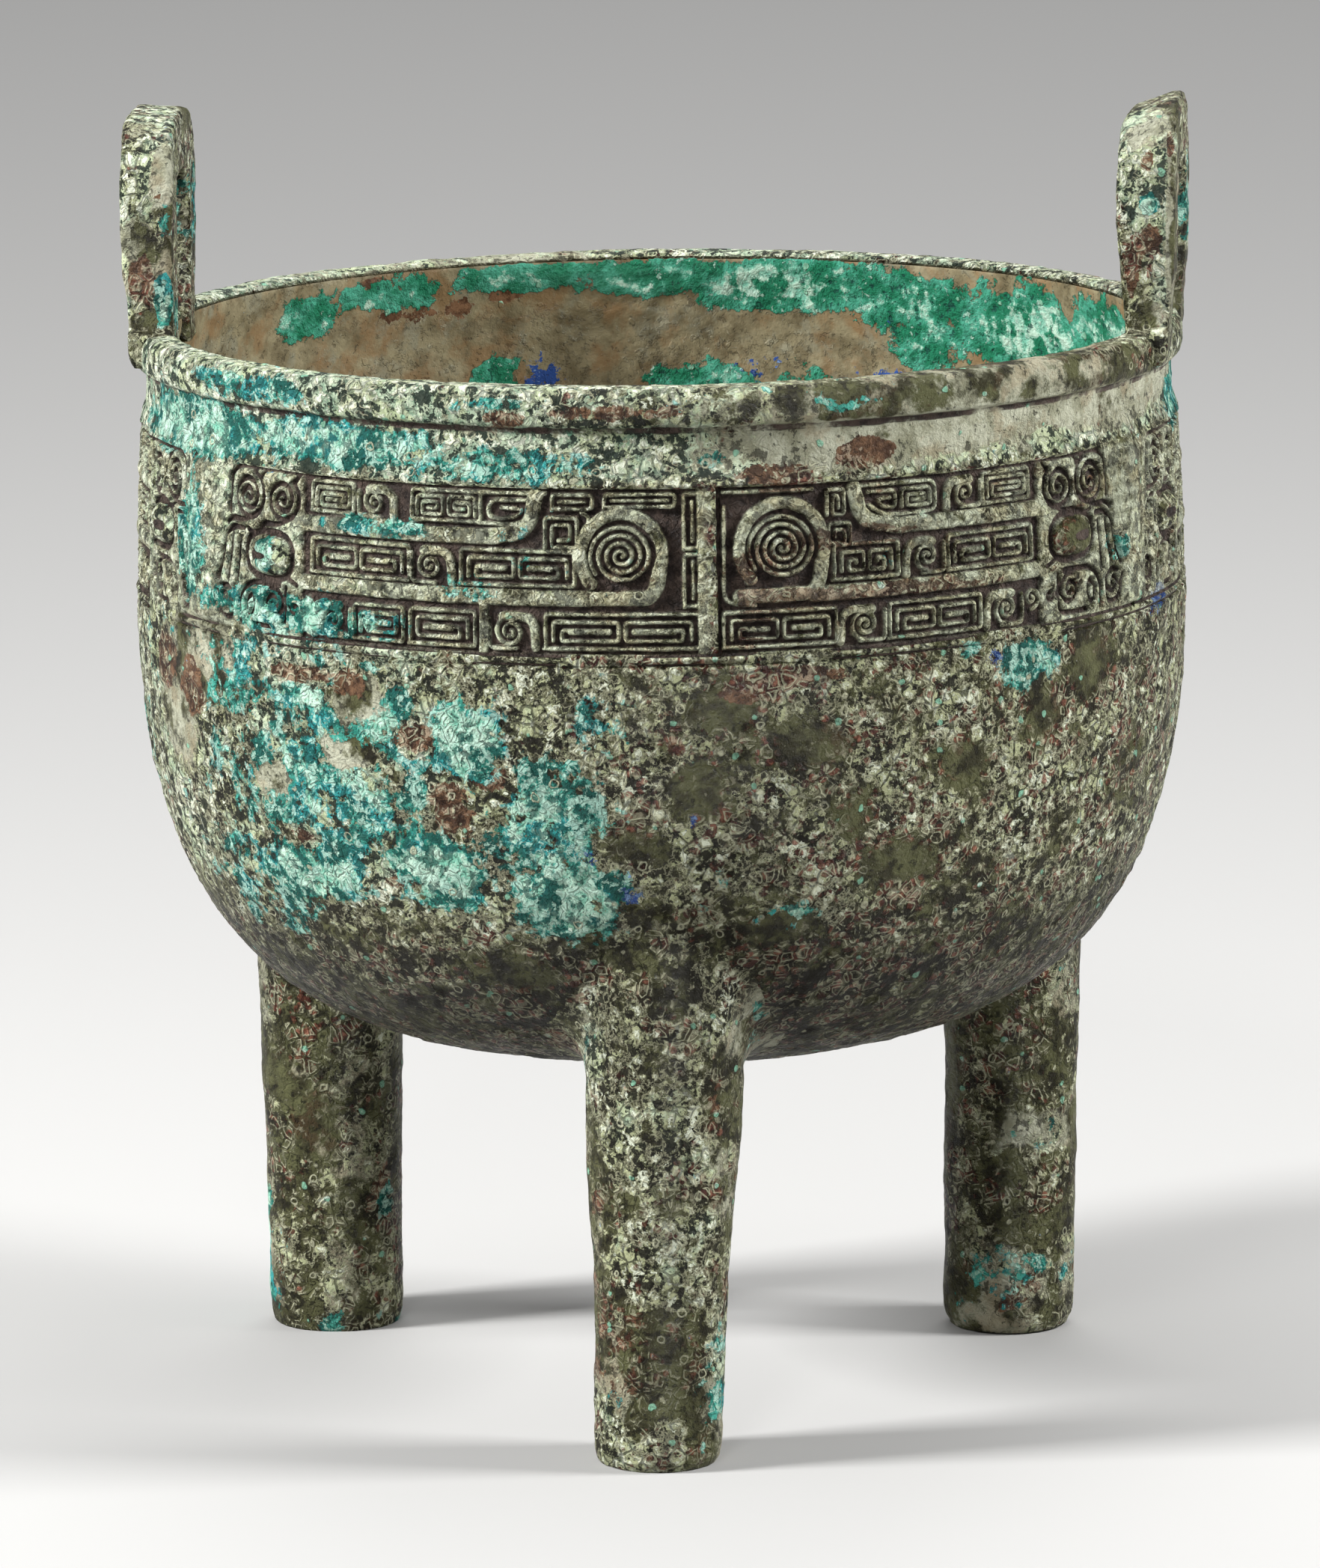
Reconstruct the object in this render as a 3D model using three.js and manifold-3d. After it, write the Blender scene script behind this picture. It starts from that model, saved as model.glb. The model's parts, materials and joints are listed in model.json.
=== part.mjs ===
// A round bronze ding: a deep round-bottomed bowl on three columnar legs, with two upright
// loop handles on its lip and one band of carving, three masks long, under the lip.
// Millimetres, +Z up. The front of the vessel faces -Y, and azimuths are counted from
// there towards +X, so azimuth 90 is the right side.
import * as THREE from 'three';
import { mergeVertices } from 'three/addons/utils/BufferGeometryUtils.js';
import Module from 'manifold-3d';

const wasm = await Module();
wasm.setup();

// ---------------------------------------------------------------- driving dimensions
const BOWL_RADIUS = 90.0; // the widest girth, just under the carved band
const GIRTH_Z = 138.5; // height of that girth
const BOWL_BOTTOM_Z = 60.0; // lowest point of the bowl's underside
const BOWL_SHOULDER_POWER = 2.422; // how late the side turns under
const BOWL_SIDE_POWER = 3.746; // how full the turn is
const WALL = 3.4; // thickness of the cast wall and floor
const LIP_TOP_Z = 184.3;
const LIP_HEIGHT = 7.1; // the thick rounded lip
const LIP_OUTER_RADIUS = 89.7;
const LIP_INNER_RADIUS = 82.8;
const NECK_RADIUS = 87.8; // the waist between the carved band and the lip
const OUTER_FLATS = 48; // flats round the vessel's outside
const INNER_FLATS = 36; // and round its hollow

const BAND_BOTTOM_Z = 140.2; // the carved band
const BAND_TOP_Z = 167.4;
const BAND_TOP_RADIUS = 88.9;
const GROUND_DEPTH = 0.75; // how far the ground of the carving lies under its ridges
const CARVING_ROOT = 0.6; // how far a ridge reaches into the wall

const MASK_ANGLE = 120; // one mask, from divider to divider
const DIVIDER_AZIMUTH = 5; // the divider nearest the front
const NARROW_HALF_ANGLE = 56.6; // divider to nose on a mask's left side
const NOSE_WIDTH = 10.5;
const NOSE_RISE = 1.3;
const DIVIDER_WIDTH = 3.2;
const EYE_LENGTH = 9.6;
const EYE_HEIGHT = 6.6;
const EYE_RISE = 1.7;

const HANDLE_WIDTH = 43; // across the loop, along the rim
const HANDLE_LIMB = 10.5;
const HANDLE_CROWN = 11; // thickness of the loop over its opening
const HANDLE_THICKNESS = 9.2; // across the rim
const HANDLE_RADIUS = 85.5; // from the axis to the middle of a handle
const HANDLE_FOOT_Z = 177.6;
const HANDLE_EDGE = 1.6; // rounding of the cast edges
const HANDLES = [
  { azimuth: 84, topZ: 222 },
  { azimuth: -93, topZ: 220 },
];

const LEG_CIRCLE = 68.6;
const LEG_CIRCLE_X = -0.7; // the three feet stand a little to the left of the axis
const LEG_TOP_Z = 94;
const LEG_OVERRUN = 4; // length below the ground, cut off flat
// topShift is how far a leg's top stands to the right of its foot.
const LEGS = [
  { azimuth: -1.4, footRadius: 10.9, kneeRadius: 13.3, topShift: 2.8 },
  { azimuth: 118.6, footRadius: 11.8, kneeRadius: 12.1, topShift: 1.4 },
  { azimuth: -121.4, footRadius: 11.8, kneeRadius: 12.9, topShift: 0.1 },
];
const LEG_FLATS = 12;

const ROLL = 0.78; // degrees: the vessel stands a little higher on its right side

// ---------------------------------------------------------------- helpers
const radians = THREE.MathUtils.degToRad;
const lerp = THREE.MathUtils.lerp;

function solid(geometry) {
  const plain = geometry.clone();
  plain.deleteAttribute('normal');
  plain.deleteAttribute('uv');
  const closed = mergeVertices(plain.index ? plain.toNonIndexed() : plain, 1e-4);
  const mesh = new wasm.Mesh({
    numProp: 3,
    vertProperties: new Float32Array(closed.attributes.position.array),
    triVerts: new Uint32Array(closed.index.array),
  });
  return new wasm.Manifold(mesh);
}

function toGeometry(manifold) {
  const mesh = manifold.getMesh();
  const geometry = new THREE.BufferGeometry();
  geometry.setAttribute('position', new THREE.BufferAttribute(mesh.vertProperties, 3));
  geometry.setIndex(new THREE.BufferAttribute(mesh.triVerts, 1));
  geometry.computeVertexNormals();
  return geometry;
}

// A solid of revolution about Z from [radius, height] points.
function turned(profile, segments) {
  const points = profile.map(([radius, height]) => new THREE.Vector2(radius, height));
  return solid(new THREE.LatheGeometry(points, segments).rotateX(Math.PI / 2));
}

// Radius of the outer wall, as if nothing were carved in it.
function outerRadius(z) {
  if (z < GIRTH_Z) {
    const drop = (GIRTH_Z - z) / (GIRTH_Z - BOWL_BOTTOM_Z);
    const share = Math.max(0, 1 - Math.pow(drop, BOWL_SHOULDER_POWER));
    return BOWL_RADIUS * Math.pow(share, 1 / BOWL_SIDE_POWER);
  }
  const rise = (z - GIRTH_Z) / (BAND_TOP_Z - GIRTH_Z);
  return BOWL_RADIUS - (BOWL_RADIUS - BAND_TOP_RADIUS) * rise * rise;
}

// Points down the round bottom of a bowl, evenly spread round its curve.
function bowlCurve(radius, girthZ, bottomZ, steps) {
  const points = [];
  for (let i = 0; i <= steps; i += 1) {
    const turn = (i / steps) * (Math.PI / 2);
    const share = Math.pow(Math.sin(turn), 2 / BOWL_SIDE_POWER);
    const drop = Math.pow(Math.cos(turn), 2 / BOWL_SHOULDER_POWER);
    points.push([radius * share, girthZ - drop * (girthZ - bottomZ)]);
  }
  points[0][0] = 0;
  return points;
}

// ---------------------------------------------------------------- bowl
const OUTER_STEPS = 8;
const INNER_STEPS = 6;

function outerProfile() {
  const lipFoot = LIP_TOP_Z - LIP_HEIGHT;
  return [
    ...bowlCurve(BOWL_RADIUS, GIRTH_Z, BOWL_BOTTOM_Z, OUTER_STEPS),
    [BOWL_RADIUS, BAND_BOTTOM_Z],
    [BOWL_RADIUS - GROUND_DEPTH, BAND_BOTTOM_Z + 0.5],
    [outerRadius(154) - GROUND_DEPTH, 154],
    [BAND_TOP_RADIUS - GROUND_DEPTH, BAND_TOP_Z - 0.5],
    [BAND_TOP_RADIUS, BAND_TOP_Z],
    [NECK_RADIUS, BAND_TOP_Z + 4],
    [NECK_RADIUS, lipFoot - 0.4],
    [LIP_OUTER_RADIUS, lipFoot + 1.6],
    [LIP_OUTER_RADIUS, LIP_TOP_Z - 1.6],
    [LIP_OUTER_RADIUS - 2, LIP_TOP_Z],
    [0, LIP_TOP_Z],
  ];
}

function innerProfile() {
  const curve = bowlCurve(BOWL_RADIUS - WALL, GIRTH_Z, BOWL_BOTTOM_Z + WALL, INNER_STEPS);
  return [
    ...curve,
    [BAND_TOP_RADIUS - WALL, BAND_TOP_Z],
    [LIP_INNER_RADIUS, LIP_TOP_Z - 3.4],
    [LIP_INNER_RADIUS + 1, LIP_TOP_Z],
  ];
}

// Everything inside the wall, up past the lip.
function hollow() {
  const mouth = [
    [LIP_INNER_RADIUS + 1, LIP_TOP_Z + 10],
    [0, LIP_TOP_Z + 10],
  ];
  return turned([...innerProfile(), ...mouth], INNER_FLATS);
}

// ---------------------------------------------------------------- carved band
// The band is drawn flat: u runs along the band in millimetres, v up from its lower edge.
// A ridge is a bar with square edges that follows a line there and is bent round the wall,
// with its face flush with the wall and its root inside it.
function ridge(line, width, azimuth, side) {
  const points = line.map((point) => new THREE.Vector2(side * point.x, point.y));
  const steps = points.length - 1;
  const bar = new THREE.BoxGeometry(1, 1, 1, steps, 1, 1);
  const position = bar.attributes.position;
  for (let i = 0; i < position.count; i += 1) {
    const station = Math.round((position.getX(i) + 0.5) * steps);
    const edge = edgePoint(points, station, Math.sign(position.getY(i)) * width);
    const z = BAND_BOTTOM_Z + edge.y;
    const depth = position.getZ(i) > 0 ? 0 : GROUND_DEPTH + CARVING_ROOT;
    const radius = outerRadius(z) - depth;
    const angle = radians(azimuth) + edge.x / BOWL_RADIUS;
    position.setXYZ(i, radius * Math.sin(angle), -radius * Math.cos(angle), z);
  }
  return solid(bar);
}

// The point beside a station of a line, half of width to its left, with mitred corners.
function edgePoint(line, station, width) {
  const point = line[station];
  const back = new THREE.Vector2().subVectors(point, line[Math.max(station - 1, 0)]);
  const ahead = new THREE.Vector2().subVectors(line[Math.min(station + 1, line.length - 1)], point);
  const first = (station === 0 ? ahead : back).normalize();
  const second = (station === line.length - 1 ? back : ahead).normalize();
  const along = new THREE.Vector2().addVectors(first, second).normalize();
  const reach = width / 2 / Math.max(0.6, along.dot(second));
  return new THREE.Vector2(point.x - along.y * reach, point.y + along.x * reach);
}

// A round spiral line from its eye outwards. way is 1 or -1, start and turns are in turns.
function spiral(u, v, inner, outer, turns, start, way, perTurn = 6) {
  const steps = Math.round(turns * perTurn);
  return Array.from({ length: steps + 1 }, (_, i) => {
    const share = i / steps;
    const radius = lerp(inner, outer, share);
    const angle = 2 * Math.PI * (start + way * turns * share);
    return new THREE.Vector2(u + radius * Math.cos(angle), v + radius * Math.sin(angle));
  });
}

// A squared hook that fills a box: up one side, along the top, down and back inside.
function squareHook(u0, u1, v0, v1) {
  return [[u0, v0], [u0, v1], [u1, v1], [u1, v0], [u0 + 2.4, v0]].map(([u, v]) => new THREE.Vector2(u, v));
}

// A level run of points, close enough to follow the wall.
function run(u0, u1, v) {
  const steps = Math.max(1, Math.round(Math.abs(u1 - u0) / 11));
  return Array.from({ length: steps + 1 }, (_, i) => new THREE.Vector2(lerp(u0, u1, i / steps), v));
}

const BAND_RIDGE = 2.7; // the broad ridges that draw the masks' bodies
const LINE_RIDGE = 1.1; // the thin ridges of the spirals

// The ridges of one half of a mask. u is counted from the nose, and length is the
// distance from there to the divider. Each entry is a line and its width.
function halfMask(length) {
  const eyeU = length * 0.2;
  const tailU = length - 14.5;
  const ridges = [];
  const add = (line, width) => ridges.push({ line, width });

  // the body: a broad ridge under the eye that curls up and over the great spiral
  const curl = spiral(tailU, 16.2, 7, 6.9, 0.66, 0.75, 1);
  add([...run(eyeU + 6, tailU - 4, 9.2), ...curl], BAND_RIDGE);
  add(spiral(tailU, 16.2, 0.8, 4.6, 1.7, 0.1, -1), LINE_RIDGE);

  // the horn: a broad ridge above the body whose end hooks upwards
  const hook = spiral(tailU - 17, 24, 4.8, 4.2, 0.25, 0.75, 1);
  add([...run(eyeU + 7, tailU - 18, 19.2), ...hook], BAND_RIDGE);

  // the twin spirals over the brow, and the claw under the eye
  add(spiral(eyeU - 6, 22.4, 0.9, 3.3, 1, 0.2, -1), LINE_RIDGE);
  add(spiral(eyeU + 2.6, 22.4, 0.9, 3.1, 1, 0.2, -1), LINE_RIDGE);
  add(spiral(eyeU + 1.5, 4.6, 0.8, 3, 1, 0.6, 1), LINE_RIDGE);

  // squared hooks inside the body and under it
  const middle = lerp(eyeU, tailU, 0.5);
  add(squareHook(middle - 6, middle + 3, 12, 16), LINE_RIDGE);
  add(squareHook(middle, middle + 9, 2, 6), LINE_RIDGE);
  return ridges;
}

function eye(azimuth) {
  const boss = new THREE.SphereGeometry(1, 8, 6);
  boss.scale(EYE_LENGTH / 2, EYE_RISE + GROUND_DEPTH, EYE_HEIGHT / 2);
  const centreZ = BAND_BOTTOM_Z + 13.2;
  boss.translate(0, -(outerRadius(centreZ) - GROUND_DEPTH), centreZ);
  return solid(boss.rotateZ(radians(azimuth)));
}

// An upright low ridge across the band, rounded in plan.
function uprightRidge(azimuth, width, rise) {
  const height = BAND_TOP_Z - BAND_BOTTOM_Z;
  const steps = 4;
  const plan = [];
  for (let i = 0; i <= steps; i += 1) {
    const share = (2 * i) / steps - 1;
    const radius = outerRadius(BAND_TOP_Z) + rise * (1 - share * share);
    plan.push(new THREE.Vector2((share * width) / 2, -radius));
  }
  const root = outerRadius(BAND_TOP_Z) - GROUND_DEPTH - CARVING_ROOT;
  plan.push(new THREE.Vector2(width / 2, -root), new THREE.Vector2(-width / 2, -root));
  const shape = new THREE.Shape(plan);
  const bar = new THREE.ExtrudeGeometry(shape, { depth: height, steps: 1, bevelEnabled: false });
  bar.translate(0, 0, BAND_BOTTOM_Z);
  return solid(bar.rotateZ(radians(azimuth)));
}

function carving() {
  const parts = [];
  const narrow = radians(NARROW_HALF_ANGLE) * BOWL_RADIUS;
  const wide = radians(MASK_ANGLE - NARROW_HALF_ANGLE) * BOWL_RADIUS;
  for (let mask = 0; mask < 3; mask += 1) {
    const dividerAt = DIVIDER_AZIMUTH + mask * MASK_ANGLE;
    const noseAt = dividerAt + NARROW_HALF_ANGLE;
    parts.push(uprightRidge(dividerAt, DIVIDER_WIDTH, 0.2));
    parts.push(uprightRidge(noseAt, NOSE_WIDTH, NOSE_RISE));
    for (const [length, side] of [[narrow, -1], [wide, 1]]) {
      const eyeAngle = THREE.MathUtils.radToDeg((length * 0.2) / BOWL_RADIUS);
      parts.push(eye(noseAt + side * eyeAngle));
      for (const { line, width } of halfMask(length)) {
        parts.push(ridge(line, width, noseAt, side));
      }
    }
  }
  return wasm.Manifold.union(parts);
}

// ---------------------------------------------------------------- handles
// One upright loop, drawn across the rim and extruded through its thickness.
function handle({ azimuth, topZ }) {
  const half = HANDLE_WIDTH / 2 - HANDLE_EDGE;
  const holeHalf = HANDLE_WIDTH / 2 - HANDLE_LIMB + HANDLE_EDGE;
  const shoulder = 15;
  const holeShoulder = 8;
  const crown = topZ - HANDLE_EDGE;
  const holeTop = topZ - HANDLE_CROWN + HANDLE_EDGE;
  const outline = new THREE.Shape();
  outline.moveTo(-half, HANDLE_FOOT_Z);
  outline.lineTo(-holeHalf, HANDLE_FOOT_Z);
  outline.lineTo(-holeHalf, holeTop - holeShoulder);
  outline.absarc(-holeHalf + holeShoulder, holeTop - holeShoulder, holeShoulder, Math.PI, Math.PI / 2, true);
  outline.absarc(holeHalf - holeShoulder, holeTop - holeShoulder, holeShoulder, Math.PI / 2, 0, true);
  outline.lineTo(holeHalf, HANDLE_FOOT_Z);
  outline.lineTo(half, HANDLE_FOOT_Z);
  outline.lineTo(half, crown - shoulder);
  outline.absarc(half - shoulder, crown - shoulder, shoulder, 0, Math.PI / 2, false);
  outline.absarc(-half + shoulder, crown - shoulder, shoulder, Math.PI / 2, Math.PI, false);
  const loop = new THREE.ExtrudeGeometry(outline, {
    depth: HANDLE_THICKNESS - 2 * HANDLE_EDGE,
    steps: 1,
    curveSegments: 4,
    bevelEnabled: true,
    bevelSize: HANDLE_EDGE,
    bevelThickness: HANDLE_EDGE,
    bevelSegments: 1,
  });
  loop.translate(0, 0, -(HANDLE_THICKNESS / 2 - HANDLE_EDGE));
  loop.rotateX(Math.PI / 2);
  loop.translate(0, -HANDLE_RADIUS, 0);
  return solid(loop.rotateZ(radians(azimuth)));
}

// ---------------------------------------------------------------- legs
// A column, thinnest just above its worn foot, that leans a little on its way up.
function leg({ azimuth, footRadius, kneeRadius, topShift }) {
  const profile = [
    [0, -LEG_OVERRUN],
    [footRadius - 0.9, -LEG_OVERRUN],
    [footRadius - 0.9, 0],
    [footRadius, 2.4],
    [footRadius, 14],
    [lerp(footRadius, kneeRadius, 0.35), 34],
    [kneeRadius, 56],
    [kneeRadius + 0.5, 64],
    [kneeRadius + 1.3, 72],
    [kneeRadius + 1.3, LEG_TOP_Z],
    [0, LEG_TOP_Z],
  ];
  const points = profile.map(([radius, height]) => new THREE.Vector2(radius, height));
  const column = new THREE.LatheGeometry(points, LEG_FLATS).rotateX(Math.PI / 2);
  const position = column.attributes.position;
  for (let i = 0; i < position.count; i += 1) {
    const up = THREE.MathUtils.clamp(position.getZ(i) / LEG_TOP_Z, 0, 1);
    position.setX(i, position.getX(i) + topShift * up);
  }
  const angle = radians(azimuth);
  column.translate(LEG_CIRCLE_X + LEG_CIRCLE * Math.sin(angle), -LEG_CIRCLE * Math.cos(angle), 0);
  return solid(column);
}

// ---------------------------------------------------------------- the casting
function ground() {
  const slab = new THREE.BoxGeometry(400, 400, 40);
  return solid(slab.translate(0, 0, -20));
}

function ding() {
  const body = turned(outerProfile(), OUTER_FLATS);
  const columns = LEGS.map(leg);
  const cast = wasm.Manifold.union([body, ...columns]).subtract(hollow());
  const upright = wasm.Manifold.union([cast, carving(), ...HANDLES.map(handle)]);
  const standing = upright.rotate([0, -ROLL, 0]).subtract(ground());
  const box = standing.boundingBox();
  const middle = [0, 1].map((axis) => (box.min[axis] + box.max[axis]) / 2);
  return standing.translate([-middle[0], -middle[1], 0]);
}

const patinatedBronze = new THREE.MeshStandardMaterial({
  color: 0x7f8468,
  roughness: 0.82,
  metalness: 0.15,
});

const vessel = new THREE.Mesh(toGeometry(ding()), patinatedBronze);
vessel.name = 'ding_vessel';

const model = new THREE.Group();
model.add(vessel);

export default model;
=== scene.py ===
# %% [markdown]
# # A bronze ding
#
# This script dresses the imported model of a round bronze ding, a three-legged vessel cast some
# three thousand years ago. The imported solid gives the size, the place and the broad carving.
# Here the same forms are built again as fine meshes: a sunken band of spirals, a pitted wall,
# worn feet, and the green, olive and red-brown crust that old bronze grows in the ground.
#
# All lengths are in millimetres until a mesh is made, and metres from then on. The vessel is
# first drawn upright about its own axis, with azimuths counted from the front towards the
# right. `stand` then leans it by the small angle at which the real one stands.

# %% load the frame
import json
import math
from types import SimpleNamespace

import bpy
import numpy as np
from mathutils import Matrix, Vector


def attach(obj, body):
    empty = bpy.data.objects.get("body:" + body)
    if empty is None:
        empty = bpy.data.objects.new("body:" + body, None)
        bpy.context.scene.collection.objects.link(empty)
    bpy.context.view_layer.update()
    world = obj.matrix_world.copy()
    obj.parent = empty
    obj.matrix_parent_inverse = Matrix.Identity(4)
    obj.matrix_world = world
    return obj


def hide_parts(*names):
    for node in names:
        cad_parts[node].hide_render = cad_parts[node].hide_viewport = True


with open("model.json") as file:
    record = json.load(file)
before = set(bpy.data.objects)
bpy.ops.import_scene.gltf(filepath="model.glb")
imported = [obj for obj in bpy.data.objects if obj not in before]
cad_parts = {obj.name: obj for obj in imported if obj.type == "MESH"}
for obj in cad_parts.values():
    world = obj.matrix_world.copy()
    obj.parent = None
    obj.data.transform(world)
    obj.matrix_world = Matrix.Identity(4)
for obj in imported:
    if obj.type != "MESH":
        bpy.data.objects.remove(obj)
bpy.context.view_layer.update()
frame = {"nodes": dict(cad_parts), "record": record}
VESSEL = "ding_vessel"
feet = {m["name"]: np.array(m["pos_m"]) * 1000 for m in frame["record"]["mounts"]}
print("the packed model holds", sorted(frame["nodes"]), "and stands on", sorted(feet))

# %% [markdown]
# ## The camera
#
# A long lens looks at the front leg from a little above the rim. The aim is a touch to the
# left of the axis, so the vessel sits where it should in the tall frame.

# %% set the camera
CAMERA_FOOT = (0.0022, -1.8218)
CAMERA_HEIGHT = 0.4332
AIM = (0.0001, 0.0, 0.1025)
LENS = 247.0
SENSOR = 36.0

camera_data = bpy.data.cameras.new("camera")
camera_data.lens = LENS
camera_data.sensor_width = SENSOR
camera = bpy.data.objects.new("camera", camera_data)
camera.location = (*CAMERA_FOOT, CAMERA_HEIGHT)
camera.rotation_euler = (Vector(AIM) - camera.location).to_track_quat("-Z", "Y").to_euler()
bpy.context.scene.collection.objects.link(camera)
bpy.context.scene.camera = camera
print("camera at", tuple(round(c, 3) for c in camera.location))

# %% [markdown]
# ## Floor and light
#
# The floor is pale and the light soft. A strong light stands high on the left and a weaker
# one on the right. Both are well to the side, so they rake across the carving and leave the
# bowl's underside in shade. Two faint ones, in front and above, soften that shade. A large
# one lights the floor behind, and the sky is dim. The plain Standard view keeps the colours
# as they are mixed.

# %% build the stage and the lights
FLOOR_HALF = 3.5
FLOOR_COLOUR = (0.4, 0.396, 0.388)
SKY_COLOUR = (0.92, 0.95, 1.0)
SKY_STRENGTH = 0.12
VESSEL_MIDDLE = (0, 0, 0.14)
FLOOR_BEHIND = (0, 1.3, 0)
LIGHTS = [
    ("key", (-1.25, -0.42, 0.9), VESSEL_MIDDLE, 0.3, 45),
    ("side", (1.25, -0.12, 0.8), VESSEL_MIDDLE, 0.4, 30),
    ("front", (-0.3, -1.5, 1.3), VESSEL_MIDDLE, 0.3, 8),
    ("top", (0.0, 0.1, 1.5), VESSEL_MIDDLE, 0.6, 4),
    ("back", (0.1, 2.2, 2.4), FLOOR_BEHIND, 2.0, 45),
]


def plain_material(name, colour, roughness):
    """A material of one colour."""
    material = bpy.data.materials.new(name)
    material.use_nodes = True
    shader = material.node_tree.nodes["Principled BSDF"]
    shader.inputs["Base Color"].default_value = (*colour, 1)
    shader.inputs["Roughness"].default_value = roughness
    return material


def area_light(name, place, aim, size, power):
    """A square soft light, turned to face a point: its size in metres, its power in watts."""
    data = bpy.data.lights.new(name, "AREA")
    data.size = size
    data.energy = power
    light = bpy.data.objects.new(name, data)
    light.location = place
    light.rotation_euler = (Vector(aim) - light.location).to_track_quat("-Z", "Y").to_euler()
    bpy.context.scene.collection.objects.link(light)


floor_mesh = bpy.data.meshes.new("floor")
corners = [(x * FLOOR_HALF, y * FLOOR_HALF, 0) for x, y in ((-1, -1), (1, -1), (1, 1), (-1, 1))]
floor_mesh.from_pydata(corners, [], [(0, 1, 2, 3)])
floor = bpy.data.objects.new("floor", floor_mesh)
floor_mesh.materials.append(plain_material("floor_paper", FLOOR_COLOUR, 0.95))
bpy.context.scene.collection.objects.link(floor)

for light in LIGHTS:
    area_light(*light)

world = bpy.data.worlds.new("soft sky")
world.use_nodes = True
sky = world.node_tree.nodes["Background"]
sky.inputs["Color"].default_value = (*SKY_COLOUR, 1)
sky.inputs["Strength"].default_value = SKY_STRENGTH
bpy.context.scene.world = world
bpy.context.scene.view_settings.view_transform = "Standard"
print(len(LIGHTS), "lights over a floor", 2 * FLOOR_HALF, "metres wide")

# %% [markdown]
# ## Number tools
#
# Everything rough about the bronze comes from three noises: smooth value noise, a sum of it
# at halving sizes, and the distance to scattered points, which gives pits and grains.

# %% define the noises
def smoothstep(low, high, value):
    """0 under low, 1 over high, and 3t^2 - 2t^3 between them."""
    share = np.clip((value - low) / (high - low), 0, 1)
    return share * share * (3 - 2 * share)


def lattice(cell, seed):
    """A repeatable number from 0 to 1 for each whole-numbered cell: its indices times large
    odd numbers, mixed by shifts and one more multiplication."""
    mixed = cell[..., 0] * 374761393 + cell[..., 1] * 668265263 + cell[..., 2] * 1440670441
    mixed = (mixed + seed * 974634777) & 0xFFFFFFFF
    mixed = ((mixed ^ (mixed >> 13)) * 1274126177) & 0xFFFFFFFF
    mixed = ((mixed ^ (mixed >> 15)) * 668265263) & 0xFFFFFFFF
    return ((mixed >> 8) & 0xFFFF) / 0xFFFF


def grain(points, size, seed=0):
    """Smooth noise from 0 to 1: random numbers on a grid of the given size in millimetres,
    blended between the eight corners of each cell by smoothstep weights."""
    scaled = np.asarray(points) / size
    cell = np.floor(scaled).astype(np.int64)
    part = scaled - cell
    part = part * part * (3 - 2 * part)
    total = np.zeros(scaled.shape[:-1])
    for corner in np.ndindex(2, 2, 2):
        weight = np.prod(np.where(corner, part, 1 - part), axis=-1)
        total += weight * lattice(cell + np.array(corner), seed)
    return total


def fractal(points, size, octaves, seed=0):
    """A weighted mean of noises, each half the size and half the weight of the one before."""
    weights = [0.5 ** i for i in range(octaves)]
    layers = [w * grain(points, size * w, seed + i) for i, w in enumerate(weights)]
    return sum(layers) / sum(weights)


def scatter(points, size, seed=0):
    """Distance from each point to the nearest of one random point per cell, in cell sizes."""
    scaled = np.asarray(points) / size
    cell = np.floor(scaled).astype(np.int64)
    nearest = np.full(scaled.shape[:-1], 9.0)
    for corner in np.ndindex(3, 3, 3):
        near = cell + np.array(corner) - 1
        spot = near + np.stack([lattice(near, seed + i) for i in (11, 12, 13)], axis=-1)
        nearest = np.minimum(nearest, ((scaled - spot) ** 2).sum(axis=-1))
    return np.sqrt(nearest)


print("noise check", round(float(fractal(np.ones((1, 3)) * 3.3, 2, 3)[0]), 3))

# %% [markdown]
# ## The vessel's own frame
#
# The wall is a surface of revolution. Its lower part is a superellipse, which turns under
# fuller than a circle would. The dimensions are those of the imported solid, with the skin set
# back a little so that the crust on it ends at the solid's face.

# %% set the driving dimensions
GIRTH_RADIUS = 90.0
GIRTH_Z = 138.5
BOWL_BOTTOM_Z = 60.0
SHOULDER_POWER = 2.422
SIDE_POWER = 3.746
WALL = 3.4
SKIN = 0.32
LIP_TOP_Z = 184.3
LIP_FOOT_Z = 177.2
LIP_OUTER = 89.7
LIP_INNER = 82.8
NECK_RADIUS = 87.8
BAND_BOTTOM_Z = 140.2
BAND_TOP_Z = 167.4
BAND_TOP_RADIUS = 88.9
BAND_HEIGHT = BAND_TOP_Z - BAND_BOTTOM_Z
LEG_CIRCLE = 68.6
LEG_CIRCLE_X = -0.7
FRONT_LEG_AZIMUTH = -1.4
ROLL = math.radians(0.78)

front_foot = np.array([
    LEG_CIRCLE_X + LEG_CIRCLE * math.sin(math.radians(FRONT_LEG_AZIMUTH)),
    -LEG_CIRCLE * math.cos(math.radians(FRONT_LEG_AZIMUTH)),
    0,
])
axis_foot = feet["foot_front"] - front_foot
print("the axis meets the ground at", axis_foot.round(2), "mm")


# %% define the wall
def outer_radius(z):
    """Radius of the plain outer wall at a height: a superellipse under the girth, and a
    slight parabola over it."""
    drop = np.clip((GIRTH_Z - z) / (GIRTH_Z - BOWL_BOTTOM_Z), 0, 1)
    under = GIRTH_RADIUS * (1 - drop ** SHOULDER_POWER) ** (1 / SIDE_POWER)
    rise = np.clip((z - GIRTH_Z) / (BAND_TOP_Z - GIRTH_Z), 0, None)
    over = GIRTH_RADIUS - (GIRTH_RADIUS - BAND_TOP_RADIUS) * rise ** 2
    return np.where(z < GIRTH_Z, under, over)


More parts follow.
